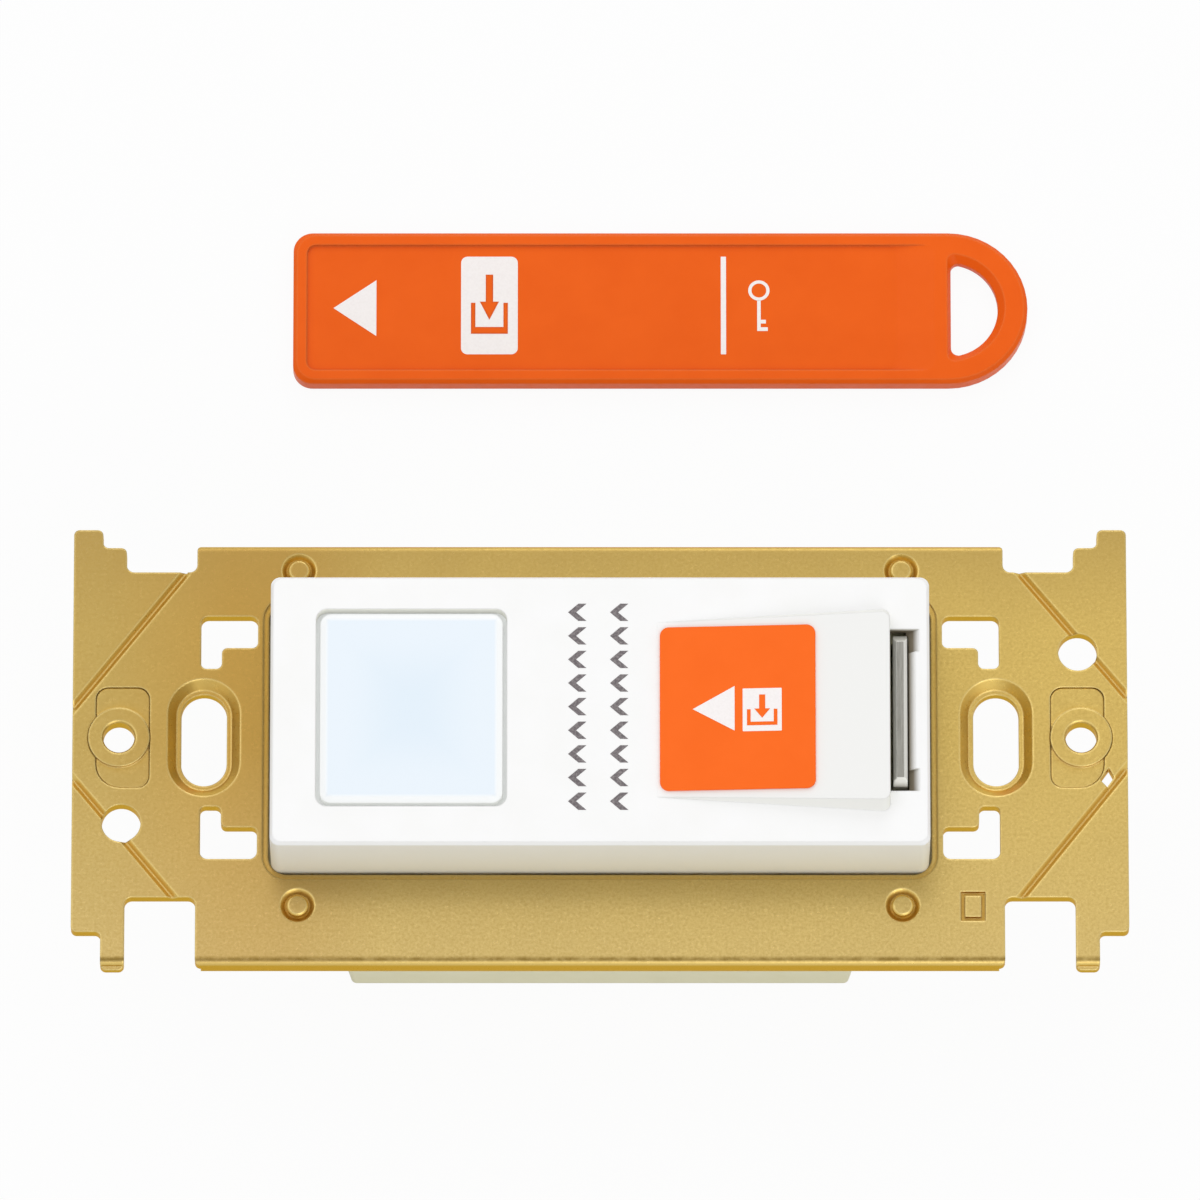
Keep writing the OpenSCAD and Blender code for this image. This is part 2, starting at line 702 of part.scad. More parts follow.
module mounting_frame() {
    color(plated) difference() {
        union() {
            linear_extrude(plate_t) difference() {
                polygon(rounded_outline(concat(frame_side(), mirrored(frame_side()))));
                rounded_rect(opening_l, opening_w, opening_r);
                for (x = [0, 1], y = [0, 1]) mirror([x, 0]) mirror([0, y]) corner_window();
            }
            for (y = [centre_top - fold_t, -centre_bottom])
                block(
                    [-mid_x + corner_r, y, plate_t - fold_h],
                    [mid_x - corner_r, y + fold_t, plate_t / 2]
                );
            for (x = [-1, 1]) translate([x * slot_pitch / 2, 0, -dish_back_t])
                linear_extrude(dish_back_t + plate_t / 2)
                oblong(slot_w + 2 * dish_rim, slot_l + 2 * dish_rim);
        }
        for (x = [-1, 1]) translate([x * slot_pitch / 2, 0, 0]) {
            translate([0, 0, -dish_back_t - over]) linear_extrude(far) oblong(slot_w, slot_l);
            dish();
        }
        for (side = [-1, 1]) {
            translate([side * wall_hole_x, side * wall_hole_y, -over])
                cylinder(d = wall_hole_d, h = plate_t + 2 * over);
            translate([side * nut_pitch / 2, 0, 0]) {
                translate([0, 0, -over]) cylinder(d = neck_d + 2 * fit_gap, h = plate_t + 2 * over);
                translate([0, 0, -collar_t - over]) cylinder(d = boss_d + 2 * fit_gap, h = collar_t + over);
                translate([0, 0, plate_t - seat_d])
                    linear_extrude(seat_d + over) nut_outline(side, fit_gap);
            }
            scored_groove(
                [side * groove_inner_x, -side * notch_bottom],
                [side * end_x, -side * groove_outer_y]
            );
            scored_groove(
                [side * groove_inner_x, side * notch_top],
                [side * end_x, side * crossed_groove_y]
            );
        }
        lapped_opening();
        for (x = [-1, 1], y = [-1, 1]) translate([x * rivet_x, y * rivet_y, 0]) {
            translate([0, 0, -over]) cylinder(d = rivet_d + 2 * fit_gap, h = plate_t + 2 * over);
            translate([0, 0, plate_t - moat_d])
                cylinder(d1 = rivet_floor_d, d2 = rivet_dish_d, h = moat_d);
            translate([0, 0, plate_t]) cylinder(d = rivet_dish_d, h = over);
        }
        square_mark();
        vent();
        translate([0, -centre_bottom + fold_r, plate_t - fold_r])
            rotate([90, 0, 0]) edge_cutter(far, fold_r);
        translate([0, centre_top - fold_r, plate_t - fold_r]) edge_cutter(2 * mid_x, fold_r);
    }
}

// The coined edge round the housing's opening
module lapped_opening() {
    rounded_block(
        opening_l + 2 * coin_w, opening_w + 2 * coin_w, opening_r + coin_w,
        plate_t - coin_d, plate_t + over
    );
}

// A small raised square in a sunk line, in the frame's lower right corner
module square_mark() {
    translate([mark_x, -mark_y, plate_t - moat_d]) difference() {
        linear_extrude(moat_d + over) square([mark_l, mark_w], center = true);
        translate([0, 0, -over]) linear_extrude(far)
            square([mark_l - 2 * moat_w, mark_w - 2 * moat_w], center = true);
    }
}

// The small gap beside the right-hand nut
module vent() {
    vent_l = 1.5;
    vent_w = 2.1;
    vent_x = nut_pitch / 2 - seat_shift + seat_w / 2 + 0.2 * vent_l;
    vent_y = -0.4 * seat_l;
    translate([vent_x, vent_y, -over])
        linear_extrude(plate_t + 2 * over) polygon([
            [0, -vent_w / 2], [vent_l / 2, 0], [vent_l / 8, vent_w / 2], [-vent_l / 2, -vent_w / 8]
        ]);
}

// The outline of a nut's foot and boss together, on one side of the frame
module nut_outline(side, extra) {
    inner_x = -seat_shift - seat_w / 2 - extra;
    outer_x = -seat_shift + seat_w / 2 + extra;
    y = seat_l / 2 + extra;
    circle(d = boss_d + 2 * extra);
    mirror([side < 0 ? 1 : 0, 0]) polygon(rounded_outline([
        [inner_x, -y, seat_r], [outer_x, -y, seat_cut_r], [outer_x, y, seat_r], [inner_x, y, seat_r]
    ]));
}

module plate_screw_nuts() {
    color(plated) for (side = [-1, 1]) translate([side * nut_pitch / 2, 0, 0]) difference() {
        union() {
            translate([0, 0, plate_t - seat_d])
                linear_extrude(seat_d - foot_drop) nut_outline(side, 0);
            translate([0, 0, -collar_t]) cylinder(d = boss_d, h = collar_t);
            cylinder(d = neck_d, h = plate_t);
            translate([0, 0, plate_t - seat_d]) cylinder(d = boss_d, h = seat_d + boss_h);
        }
        translate([0, 0, -collar_t - over]) cylinder(d = tap_d, h = far);
        translate([0, 0, -collar_t - over])
            cylinder(d1 = tap_d + 2 * (tap_sink + over), d2 = tap_d, h = tap_sink + over);
        translate([0, 0, plate_t + boss_h - tap_lead])
            cylinder(d1 = tap_d, d2 = tap_d + 2 * (tap_lead + over), h = tap_lead + over);
    }
}

// A rivet's head: a low drum with a bevelled edge and a flat top
module rivet_head() {
    r = rivet_head_d / 2;
    rotate_extrude() polygon([
        [0, 0],
        [r, 0],
        [r, rivet_head_h - rivet_bevel],
        [r - rivet_bevel, rivet_head_h],
        [0, rivet_head_h]
    ]);
}

module frame_rivets() {
    color(plated) for (x = [-1, 1], y = [-1, 1]) translate([x * rivet_x, y * rivet_y, 0]) {
        translate([0, 0, plate_t - moat_d]) rivet_head();
        translate([0, 0, -flange_t]) cylinder(d = rivet_d, h = flange_t + plate_t - moat_d);
        translate([0, 0, -flange_t - rivet_tail_h])
            cylinder(d1 = rivet_d, d2 = rivet_tail_d, h = rivet_tail_h);
    }
}

// The ramp's solid above the face, a little into it
module ramp() {
    tip = 0.02;
    slope_l = ramp_l / cos(ramp_angle);
    hull() {
        translate([ramp_x, -ramp_start_y, face_z - face_t / 2])
            cube([tip, 2 * ramp_start_y, face_t / 2 + tip]);
        for (side = [-1, 1]) {
            translate([lip_x - ramp_r, side * (ramp_end_y - ramp_r), face_z - face_t / 2])
                cylinder(r = ramp_r, h = face_t / 2 + tip);
            on_ramp() translate([slope_l - ramp_r, side * (ramp_end_y - ramp_lean - ramp_r), -ramp_h / 4])
                cylinder(r = ramp_r, h = ramp_h / 4);
        }
    }
}

// The room that the key tag needs, with the rib that its sunk panel lets stay
module key_room(x0, x1) {
    rib_side_gap = 1;
    rib_y = channel_y - key_rim - rib_side_gap;
    difference() {
        block([x0, -channel_y, -channel_h], [x1, channel_y, channel_h]);
        block([x0 - over, -rib_y, -channel_h - over], [x1 + over, rib_y, -channel_h + key_panel_d]);
    }
}

// A snap arm with its hook, on the side where Y is positive
module snap_arm() {
    y1 = snap_y;
    y0 = y1 - snap_t;
    catch_z = -snap_l + snap_catch_h;
    translate([-snap_w / 2, 0, 0]) rotate([90, 0, 90]) linear_extrude(snap_w) polygon([
        [y0, over], [y0, -snap_l], [y1, -snap_l],
        [y1 + snap_hook, -snap_l + snap_slope_h], [y1 + snap_hook, catch_z], [y1, catch_z], [y1, over]
    ]);
}

module front_cover() {
    color(white) difference() {
        union() {
            difference() {
                union() {
                    rounded_block(cover_l, cover_w, cover_r, 0, face_z - face_bevel);
                    hull() {
                        rounded_block(
                            cover_l, cover_w, cover_r, face_z - 2 * face_bevel, face_z - face_bevel
                        );
                        rounded_block(
                            cover_l - 1.2 * face_bevel, cover_w - 1.2 * face_bevel, cover_r,
                            face_z - face_bevel, face_z
                        );
                    }
                    ramp();
                }
                rounded_block(
                    cover_l - 2 * cover_wall, cover_w - 2 * cover_wall, cover_r / 2, -over, ceiling_z
                );
            }
            for (x = [-1, 1], side = [0, 1]) mirror([0, side]) translate([x * snap_x, 0, 0]) snap_arm();
        }
        translate([lens_x, lens_y]) rounded_block(
            lens_l + 2 * lens_gap, lens_w + 2 * lens_gap, lens_r, ceiling_z - over, face_z + over
        );
        in_channel() key_room(-far / 10, far / 10);
        shutter_way(ceiling_z - over, far / 10);
    }
}

// The upright room for the shutter bar
module shutter_way(z0, z1) {
    block(
        [shutter_x - shutter_clear, -shutter_w / 2 - shutter_clear, z0],
        [shutter_x + shutter_t + shutter_clear, shutter_w / 2 + shutter_clear, z1]
    );
}

module window_lens() {
    color([0.88, 0.93, 0.97]) translate([lens_x, lens_y]) {
        rounded_block(lens_flange_l, lens_flange_w, lens_r, light_top_z, ceiling_z);
        rounded_block(lens_l, lens_w, lens_r, ceiling_z, face_z - lens_bevel_h);
        hull() {
            rounded_block(lens_l, lens_w, lens_r, face_z - 1.2 * lens_bevel_h, face_z - lens_bevel_h);
            rounded_block(
                lens_l - 2 * lens_bevel, lens_w - 2 * lens_bevel, lens_r - 0.6 * lens_bevel,
                face_z - 0.02, face_z
            );
        }
    }
}

module direction_label() {
    color([0.98, 0.42, 0.12]) on_ramp()
        translate([label_x, 0]) rounded_block(label_l, label_w, label_r, 0.02, 0.02 + label_t);
}

// An upright outline with its two upper corners cut off
function cut_corners(x0, x1, z0, z1, cut) = [
    [x0, z0], [x1, z0], [x1, z1 - cut], [x1 - cut, z1], [x0 + cut, z1], [x0, z1 - cut]
];

module slot_shutter() {
    ear_y = shutter_w / 2 + ear_w;
    half = shutter_w / 2;
    color(steel) {
        intersection() {
            translate([0, half, 0]) rotate([90, 0, 0]) linear_extrude(shutter_w) polygon(cut_corners(
                shutter_x, shutter_x + shutter_t, shutter_bottom_z, shutter_top_z, shutter_bevel
            ));
            translate([shutter_x - over, 0, 0]) rotate([90, 0, 90]) linear_extrude(shutter_t + 2 * over)
                polygon(cut_corners(-half, half, shutter_bottom_z, shutter_top_z, shutter_end_bevel));
        }
        block(
            [shutter_x, -ear_y, shutter_bottom_z],
            [shutter_x + shutter_t, ear_y, shutter_bottom_z + ear_h]
        );
    }
}

// A coil of wire as one tube, standing on its flat foot
function coil_point(turn, r, pitch) = [r * cos(360 * turn), r * sin(360 * turn), pitch * turn];
module coil(r, wire, turns, height, sides = 6, steps = 14) {
    pitch = (height - wire) / turns;
    rings = turns * steps;
    points = [
        for (i = [0:rings])
            let (turn = i / steps, middle = coil_point(turn, r, pitch))
                for (s = [0:sides - 1])
                    let (a = 360 * s / sides)
                        middle + wire / 2 * [
                            cos(a) * cos(360 * turn), cos(a) * sin(360 * turn), sin(a)
                        ]
    ];
    last = rings * sides;
    faces = concat(
        [[for (s = [0:sides - 1]) s]],
        [
            for (i = [0:rings - 1], s = [0:sides - 1])
                let (a = i * sides + s, b = i * sides + (s + 1) % sides)
                    each [[a, a + sides, b], [b, a + sides, b + sides]]
        ],
        [[for (s = [sides - 1:-1:0]) last + s]]
    );
    translate([0, 0, wire / 2]) polyhedron(points, faces);
}

module shutter_spring() {
    color(steel) translate([shutter_mid_x, 0, spring_floor_z + fit_gap])
        coil(
            (spring_d - spring_wire) / 2, spring_wire, spring_turns,
            shutter_bottom_z - spring_floor_z - 2 * fit_gap
        );
}

// The housing's outer block, longer at its flange than at its back
module body_solid() {
    top_l = body_l + 2 * body_draft;
    hull() {
        rounded_block(top_l, body_w, body_r, -flange_t - 0.1, -flange_t + 0.1);
        rounded_block(body_l, body_w, body_r, -rear_z, -rear_z + 0.1);
    }
}

// A rib that carries the key channel, cut to its slope
module channel_rib(x) {
    foot_gap = 0.3;
    lug_room = lug_l / 2 + 0.6;
    lug_depth = 4;
    y = cavity_w / 2 + bite;
    difference() {
        block([x, -y, -rear_inner_z + foot_gap], [x + rib_t, y, -flange_t]);
        in_channel() block([-far, -far, -guide_out], [far, far, far]);
        in_channel() for (d = [lug_near_x, lug_deep_x])
            block([-d - lug_room, -far, -lug_depth], [-d + lug_room, far, far]);
    }
}

module rear_housing() {
    color(beige) difference() {
        union() {
            difference() {
                union() {
                    rounded_block(flange_l, flange_w, body_r, -flange_t, 0);
                    body_solid();
                }
                rounded_block(cavity_l, cavity_w, body_r / 2, -far, over);
                in_channel() block(
                    [-channel_l - guide_t, -guide_y - guide_clear, -guide_out - guide_clear],
                    [over, guide_y + guide_clear, guide_out + guide_clear]
                );
            }
            for (x = [-1, 1], y = [-1, 1]) screw_post(x, y);
            for (x = [-1, 1], side = [0, 1]) mirror([0, side]) translate([x * snap_x, 0, 0])
                snap_ledge();
            for (side = [0, 1]) mirror([0, side])
                block(
                    [
                        board_screw_x - board_boss_l / 2, board_screw_y - board_boss_w / 2,
                        -board_screw_l - screw_room
                    ],
                    [board_screw_x + board_boss_l / 2, cavity_w / 2 + bite, 0]
                );
            for (x = [rib_deep_x, rib_near_x]) channel_rib(x);
        }
        for (x = [-1, 1], y = [-1, 1]) {
            translate([x * rivet_x, y * rivet_y, -flange_t - over])
                cylinder(d = rivet_d + 2 * fit_gap, h = far);
            translate([x * rivet_x, y * rivet_y, -flange_t - far])
                cylinder(d = rivet_tail_d + 2 * rivet_tail_room, h = far);
            translate([x * screw_x, y * screw_y, -rear_z - over])
                cylinder(d = screw_d + 2 * fit_gap, h = screw_l + over + 0.3);
        }
        for (y = [-1, 1])
            translate([board_screw_x, y * board_screw_y, -board_screw_l - screw_room - over])
                cylinder(d = board_screw_d + 2 * fit_gap, h = far);
    }
}

// A post in a corner of the housing, for a cover screw
module screw_post(x, y) {
    post_h = screw_l + 1.5;
    dx = cavity_l / 2 + bite;
    dy = cavity_w / 2 + bite;
    scale([x, y, 1]) block(
        [screw_post_x, screw_post_y, -rear_inner_z],
        [dx, dy, -rear_z + post_h]
    );
}

// The ledge that a snap arm's hook catches under
module snap_ledge() {
    side_reach = 1;
    hook_gap = 0.1;
    block(
        [-snap_w / 2 - side_reach, snap_y + snap_ledge_gap, -snap_l + snap_catch_h + hook_gap],
        [snap_w / 2 + side_reach, cavity_w / 2 + bite, 0]
    );
}

module rear_cover() {
    l = cavity_l - 2 * rear_cover_gap;
    w = cavity_w - 2 * rear_cover_gap;
    release_x0 = entry_x - 6;
    release_x1 = entry_x - 4.6;
    release_w = 5.2;
    entry_y = (entry_inner_y + entry_outer_y) / 2;
    color(beige) difference() {
        rounded_block(l, w, body_r / 2, -rear_z, -rear_inner_z);
        for (x = [-1, 1], y = [-1, 1]) translate([x * screw_x, y * screw_y, -rear_z - over]) {
            cylinder(d = screw_d + 2 * fit_gap, h = far);
            cylinder(d = screw_head_d + 2 * fit_gap, h = over + screw_seat_d);
        }
        for (y = [-1, 1]) {
            for (e = [entry_inner_y, entry_outer_y]) translate([entry_x, y * e, -rear_z - over])
                cylinder(d = entry_cover_d, h = far);
            block(
                [release_x0, y * entry_y - release_w / 2, -rear_z - over],
                [release_x1, y * entry_y + release_w / 2, 0]
            );
        }
        for (x = [groove_x0:groove_pitch:groove_x1])
            block(
                [x, -back_groove_l / 2, -rear_z - over],
                [x + back_groove_w, back_groove_l / 2, -rear_z + back_groove_d]
            );
    }
}

module rear_cover_screws() {
    color(steel) for (x = [-1, 1], y = [-1, 1]) translate([x * screw_x, y * screw_y, -rear_z]) {
        difference() {
            translate([0, 0, screw_head_sink]) cylinder(d = screw_head_d, h = screw_head_h);
            for (a = [0, 90]) rotate([0, 0, a])
                translate([-driver_l / 2, -driver_w / 2, 0]) cube([driver_l, driver_w, driver_d]);
        }
        translate([0, 0, screw_start]) cylinder(d = screw_d, h = screw_l - screw_start);
    }
}

// A lug on a guide half, on both sides, with its screw hole
module guide_lugs(z0, z1, hole) {
    for (d = [lug_near_x, lug_deep_x], side = [-1, 1]) translate([-d, 0, 0]) difference() {
        block(
            [-lug_l / 2, side > 0 ? guide_y - bite : -lug_y, z0],
            [lug_l / 2, side > 0 ? lug_y : -guide_y + bite, z1]
        );
        translate([0, side * (guide_y + lug_y) / 2, z0 - over]) cylinder(d = hole, h = far, $fn = 24);
    }
}

module key_guide_lower() {
    well_y = guide_y - 0.6;
    well_gap = 0.3;
    color(beige) difference() {
        union() {
            in_channel() {
                block([-channel_l - guide_t, -guide_y, -guide_out], [-guide_lower_start, guide_y, 0]);
                guide_lugs(-lug_t, 0, guide_screw_d + 2 * fit_gap);
            }
            block([cage_x0, -cage_y, 0], [cage_x1, cage_y, cage_top_z]);
        }
        in_channel() key_room(-channel_l, far);
        shutter_way(cage_ear_z - over, far);
        block(
            [shutter_x - shutter_clear, -well_y, shutter_bottom_z - shutter_stroke - well_gap],
            [shutter_x + shutter_t + shutter_clear, well_y, cage_ear_z]
        );
        translate([shutter_mid_x, 0, spring_floor_z]) cylinder(
            d = spring_d + 2 * fit_gap, h = shutter_bottom_z - shutter_stroke - spring_floor_z, $fn = 24
        );
    }
}

module key_guide_upper() {
    cheek_x0 = -micro_deep_x + 0.7;
    cheek_x1 = -micro_deep_x + micro_l - 2.2;
    end_lap = 0.6;
    end_wall_t = 1;
    end_y = micro_w / 2 + cheek_t;
    color(beige) difference() {
        in_channel() difference() {
            union() {
                block([-channel_l - guide_t, -guide_y, 0], [-guide_upper_start, guide_y, guide_out]);
                guide_lugs(0, lug_t, guide_screw_d + 0.2 + 2 * fit_gap);
                for (side = [0, 1]) mirror([0, side, 0]) block(
                    [cheek_x0, micro_w / 2 + fit_gap, guide_out - bite],
                    [cheek_x1, end_y, guide_out + cheek_h]
                );
                for (x = [-micro_deep_x + end_lap - end_wall_t, -micro_deep_x + micro_l - end_lap])
                    block([x, -end_y, guide_out - bite], [x + end_wall_t, end_y, micro_z]);
            }
            block([-channel_l, -channel_y, -over], [far, channel_y, channel_h]);
            block(
                [-micro_deep_x + end_lap, -window_half_y, 0],
                [-micro_deep_x + micro_l - end_lap, window_half_y, micro_z]
            );
            micro_pin_holes(2 * fit_gap);
        }
        block([-far, -far, ceiling_z], [far, far, far]);
    }
}

module micro_pin_holes(extra) {
    reach = micro_w / 2 + cheek_t + over;
    for (x = micro_pin_x) translate([-micro_deep_x + x, reach, micro_z + micro_pin_z]) rotate([90, 0, 0])
        cylinder(d = micro_pin_d + extra, h = 2 * reach, $fn = 24);
}

module guide_screws() {
    y = (guide_y + lug_y) / 2;
    color(steel) in_channel() for (d = [lug_near_x, lug_deep_x], side = [-1, 1])
        translate([-d, side * y, 0]) {
            difference() {
                translate([0, 0, lug_t]) cylinder(d = guide_head_d, h = guide_head_h, $fn = 24);
                translate([-guide_head_d / 3, -driver_t / 2, lug_t + guide_head_h / 2])
                    cube([2 * guide_head_d / 3, driver_t, guide_head_h]);
            }
            translate([0, 0, -guide_screw_l])
                cylinder(d = guide_screw_d, h = guide_screw_l + lug_t + 0.1, $fn = 24);
        }
}

module microswitch_body() {
    ear_in = lever_w / 2 + 0.2;
    ear_r = 0.9;
    plunger_slack = 0.06;
    plunger_well = 3;
    color([0.16, 0.16, 0.17]) in_channel() difference() {
        union() {
            block(
                [-micro_deep_x, -micro_w / 2, micro_z],
                [-micro_deep_x + micro_l, micro_w / 2, micro_z + micro_h]
            );
            for (side = [0, 1]) mirror([0, side, 0]) {
                block(
                    [-hinge_depth - ear_r, ear_in, hinge_z],
                    [-hinge_depth + ear_r, micro_w / 2, micro_z + over]
                );
                translate([-hinge_depth, micro_w / 2, hinge_z]) rotate([90, 0, 0])
                    cylinder(r = ear_r, h = micro_w / 2 - ear_in);
            }
        }
        micro_pin_holes(2 * fit_gap);
        translate([-hinge_depth, far / 2, hinge_z]) rotate([90, 0, 0])
            cylinder(d = hinge_d + 2 * hinge_clear, h = far);
        translate([-hinge_depth - plunger_reach, 0, micro_z - over])
            cylinder(d = plunger_d + 2 * plunger_slack, h = over + plunger_well);
    }
}

module microswitch_lever() {
    eye_r = hinge_d / 2 + hinge_clear + lever_t;
    color(steel) in_channel() translate([-hinge_depth, 0, hinge_z]) rotate([0, -lever_swing, 0])
        difference() {
            union() {
                rotate([90, 0, 0]) translate([0, 0, -lever_w / 2]) cylinder(r = eye_r, h = lever_w);
                block([-lever_l, -lever_w / 2, -eye_r], [0, lever_w / 2, -eye_r + lever_t]);
            }
            rotate([90, 0, 0]) translate([0, 0, -far / 2])
                cylinder(r = hinge_d / 2 + hinge_clear, h = far);
        }
}

module microswitch_lever_pin() {
    color(steel) in_channel() translate([-hinge_depth, micro_w / 2, hinge_z]) rotate([90, 0, 0])
        cylinder(d = hinge_d, h = micro_w);
}

module microswitch_plunger() {
    tip_z = hinge_z - plunger_reach * tan(lever_swing)
        - (hinge_d / 2 + hinge_clear) / cos(lever_swing)
        + plunger_d / 2 * tan(lever_swing) + plunger_gap;
    color([0.75, 0.2, 0.15]) in_channel() translate([-hinge_depth - plunger_reach, 0, tip_z])
        cylinder(d = plunger_d, h = micro_z + 1 - tip_z);
}

module microswitch_pins() {
    reach = micro_w / 2 + cheek_t;
    tip = 0.2;
    head_d = micro_pin_d + 0.8;
    color(steel) in_channel() for (x = micro_pin_x)
        translate([-micro_deep_x + x, 0, micro_z + micro_pin_z]) rotate([90, 0, 0]) {
            translate([0, 0, -reach - tip]) cylinder(d = micro_pin_d, h = 2 * (reach + tip), $fn = 24);
            translate([0, 0, reach]) cylinder(d = head_d, h = micro_pin_head_h, $fn = 24);
        }
}

module microswitch_leads() {
    color(brass) difference() {
        for (n = [-1:1]) let (x = lead_x + n * lead_pitch)
            block([x - lead_w / 2, -lead_w / 2, -lead_l], [x + lead_w / 2, lead_w / 2, 0]);
        in_channel() block([-far, -far, -far], [far, far, micro_z + micro_h]);
    }
}

module circuit_board() {
    color([0.1, 0.4, 0.22]) difference() {
        block([board_x0, -board_w / 2, 0], [board_x1, board_w / 2, board_t]);
        for (y = [-1, 1]) translate([board_screw_x, y * board_screw_y, -over])
            cylinder(d = board_screw_d + 2 * fit_gap, h = far);
    }
}

module board_screws() {
    color(steel) for (y = [-1, 1]) translate([board_screw_x, y * board_screw_y, 0]) {
        difference() {
            translate([0, 0, board_t]) cylinder(d = board_head_d, h = board_head_h, $fn = 32);
            translate([-board_head_d / 3, -driver_t / 2, board_t + board_head_h / 2])
                cube([2 * board_head_d / 3, driver_t, board_head_h]);
        }
        translate([0, 0, -board_screw_l]) cylinder(d = board_screw_d, h = board_screw_l + board_t);
    }
}

module relay() {
    corner = 0.5;
    foot_inset = 0.5;
    foot_h = 0.3;
    color([0.18, 0.2, 0.24]) translate([relay_x, relay_y, board_t]) {
        rounded_block(relay_l, relay_w, corner, foot_h, relay_h);
        rounded_block(relay_l - 2 * foot_inset, relay_w - 2 * foot_inset, 0.8 * corner, 0, foot_h + bite);
    }
}

module smoothing_capacitor() {
    bead_z = 1.1;
    bead_r = 0.25;
    score_l = 3;
    score_w = 0.2;
    color([0.12, 0.16, 0.35]) translate([capacitor_x, capacitor_y, board_t]) difference() {
        cylinder(d = capacitor_d, h = capacitor_h);
        translate([0, 0, bead_z]) rotate_extrude() translate([capacitor_d / 2, 0]) circle(bead_r, $fn = 16);
        for (a = [0, 60, 120]) rotate([0, 0, a])
            translate([-score_l / 2, -score_w / 2, capacitor_h - score_w]) cube([score_l, score_w, over]);
    }
}

module window_leds() {
    color([0.95, 0.93, 0.7]) for (x = [-1, 1], y = [-1, 1])
        translate([lens_x + x * lens_l / 4, lens_y + y * lens_w / 4, board_t]) difference() {
            linear_extrude(led_h) square([led_l, led_w], center = true);
            translate([0, 0, led_h - 0.3]) cylinder(d = led_w - 0.8, h = 1);
        }
}

module light_box() {
    pocket_z = light_top_z - diffuser_t;
    color(white) translate([lens_x, lens_y]) difference() {
        rounded_block(light_l, light_w, lens_r, board_t, light_top_z);
        rounded_block(
            light_l - 4 * light_wall, light_w - 4 * light_wall, lens_r / 2, 0, light_top_z + over
        );
        rounded_block(
            light_l - 2 * light_wall, light_w - 2 * light_wall, lens_r / 2, pocket_z, light_top_z + over
        );
    }
}

module light_diffuser() {
    color([0.95, 0.97, 1]) translate([lens_x, lens_y]) rounded_block(
        light_l - 2 * light_wall - 2 * fit_gap, light_w - 2 * light_wall - 2 * fit_gap,
        lens_r / 2, light_top_z - diffuser_t, light_top_z
    );
}

module terminal_block() {
    color([0.88, 0.87, 0.83]) difference() {
        block(
            [block_x0, -block_w / 2, -rear_inner_z],
            [block_x1, block_w / 2, -rear_inner_z + block_h]
        );
        for (y = [-1, 1]) {
            block(
                [block_x0 + block_wall, y * chamber_y - chamber_w / 2, -rear_inner_z + block_floor],
                [block_x1 - block_wall, y * chamber_y + chamber_w / 2, 0]
            );
            for (e = [entry_inner_y, entry_outer_y]) translate([entry_x, y * e, -rear_inner_z - over])
                cylinder(d = entry_d, h = block_floor + 2 * over);
        }
    }
}

module terminal_busbars() {
    w = chamber_w - 0.4;
    z0 = chamber_floor_z;
    rim_gap = 1;
    tongue_w = 3;
    tongue_foot = 2;
    color(brass) for (y = [-1, 1]) translate([busbar_x - fit_gap, y * chamber_y, 0]) {
        block([0, -w / 2, z0], [busbar_t, w / 2, -rear_inner_z + block_h - rim_gap]);
        block([0, -tongue_w / 2, z0 + tongue_foot], [busbar_t, tongue_w / 2, -fit_gap]);
    }
}

// A leaf spring bent from one strip, drawn with the wires in place
module terminal_springs() {
    w = chamber_w - 0.6;
    x0 = block_x0 + block_wall + fit_gap;
    z0 = chamber_floor_z;
    wire_gap = 0.45;
    arch_z = z0 + leaf_h;
    tip = [entry_x - entry_d / 2 - wire_gap, z0 + leaf_tip_h];
    color(steel) for (y = [-1, 1]) translate([0, y * chamber_y + w / 2, 0]) rotate([90, 0, 0])
        linear_extrude(w) {
            translate([x0, z0]) square([leaf_t, arch_z - z0]);
            translate([x0 + arch_r, arch_z]) intersection() {
                difference() {
                    circle(arch_r);
                    circle(arch_r - leaf_t);
                }
                translate([-arch_r, 0]) square([2 * arch_r, arch_r]);
            }
            polygon([
                [x0 + 2 * arch_r, arch_z],
                [x0 + 2 * arch_r - leaf_t, arch_z],
                [tip[0] - leaf_t, tip[1]],
                tip
            ]);
        }
}

// The key tag's outline, with its blunt end at the left
module key_outline(inset) {
    r = key_w / 2 - inset;
    end = key_l - key_w / 2;
    translate([inset + key_r, -r]) square([end - inset - key_r, 2 * r]);
    translate([inset, -r + key_r]) square([2 * key_r, 2 * (r - key_r)]);
    for (y = [-1, 1]) translate([inset + key_r, y * (r - key_r)]) circle(key_r);
    translate([end, 0]) circle(r);
}

// The loop hole: a half round with its flat side towards the blunt end
module loop_hole(grow) {
    round_x = key_l - key_w / 2;
    flat_x = round_x + 0.3 - 0.5 * grow;
    r = loop_r + grow;
    corner_x = flat_x + loop_corner_r;
    reach = sqrt(pow(r - loop_corner_r, 2) - pow(corner_x - round_x, 2));
    intersection() {
        translate([round_x, 0]) circle(r);
        union() {
            translate([corner_x, -far / 2]) square([far, far]);
            translate([flat_x, -reach]) square([far, 2 * reach]);
        }
    }
    for (y = [-1, 1]) translate([corner_x, y * reach]) circle(loop_corner_r);
}

// What is cut out of one face of the key tag: the sunk panel and the sloping edge of the loop hole
module key_face_cuts() {
    panel_w = key_w - 2 * key_rim;
    floor_l = key_panel_l - key_rim - key_panel_fade;
    hull() {
        translate([key_rim + floor_l / 2, 0]) rounded_block(floor_l, panel_w, 1, -key_panel_d, over);
        translate([key_rim + (floor_l + key_panel_fade) / 2, 0])
            rounded_block(floor_l + key_panel_fade, panel_w, 1, 0, over);
    }
    hull() {
        translate([0, 0, -loop_sink]) linear_extrude(loop_sink) loop_hole(0);
        linear_extrude(over) loop_hole(loop_sink);
    }
}

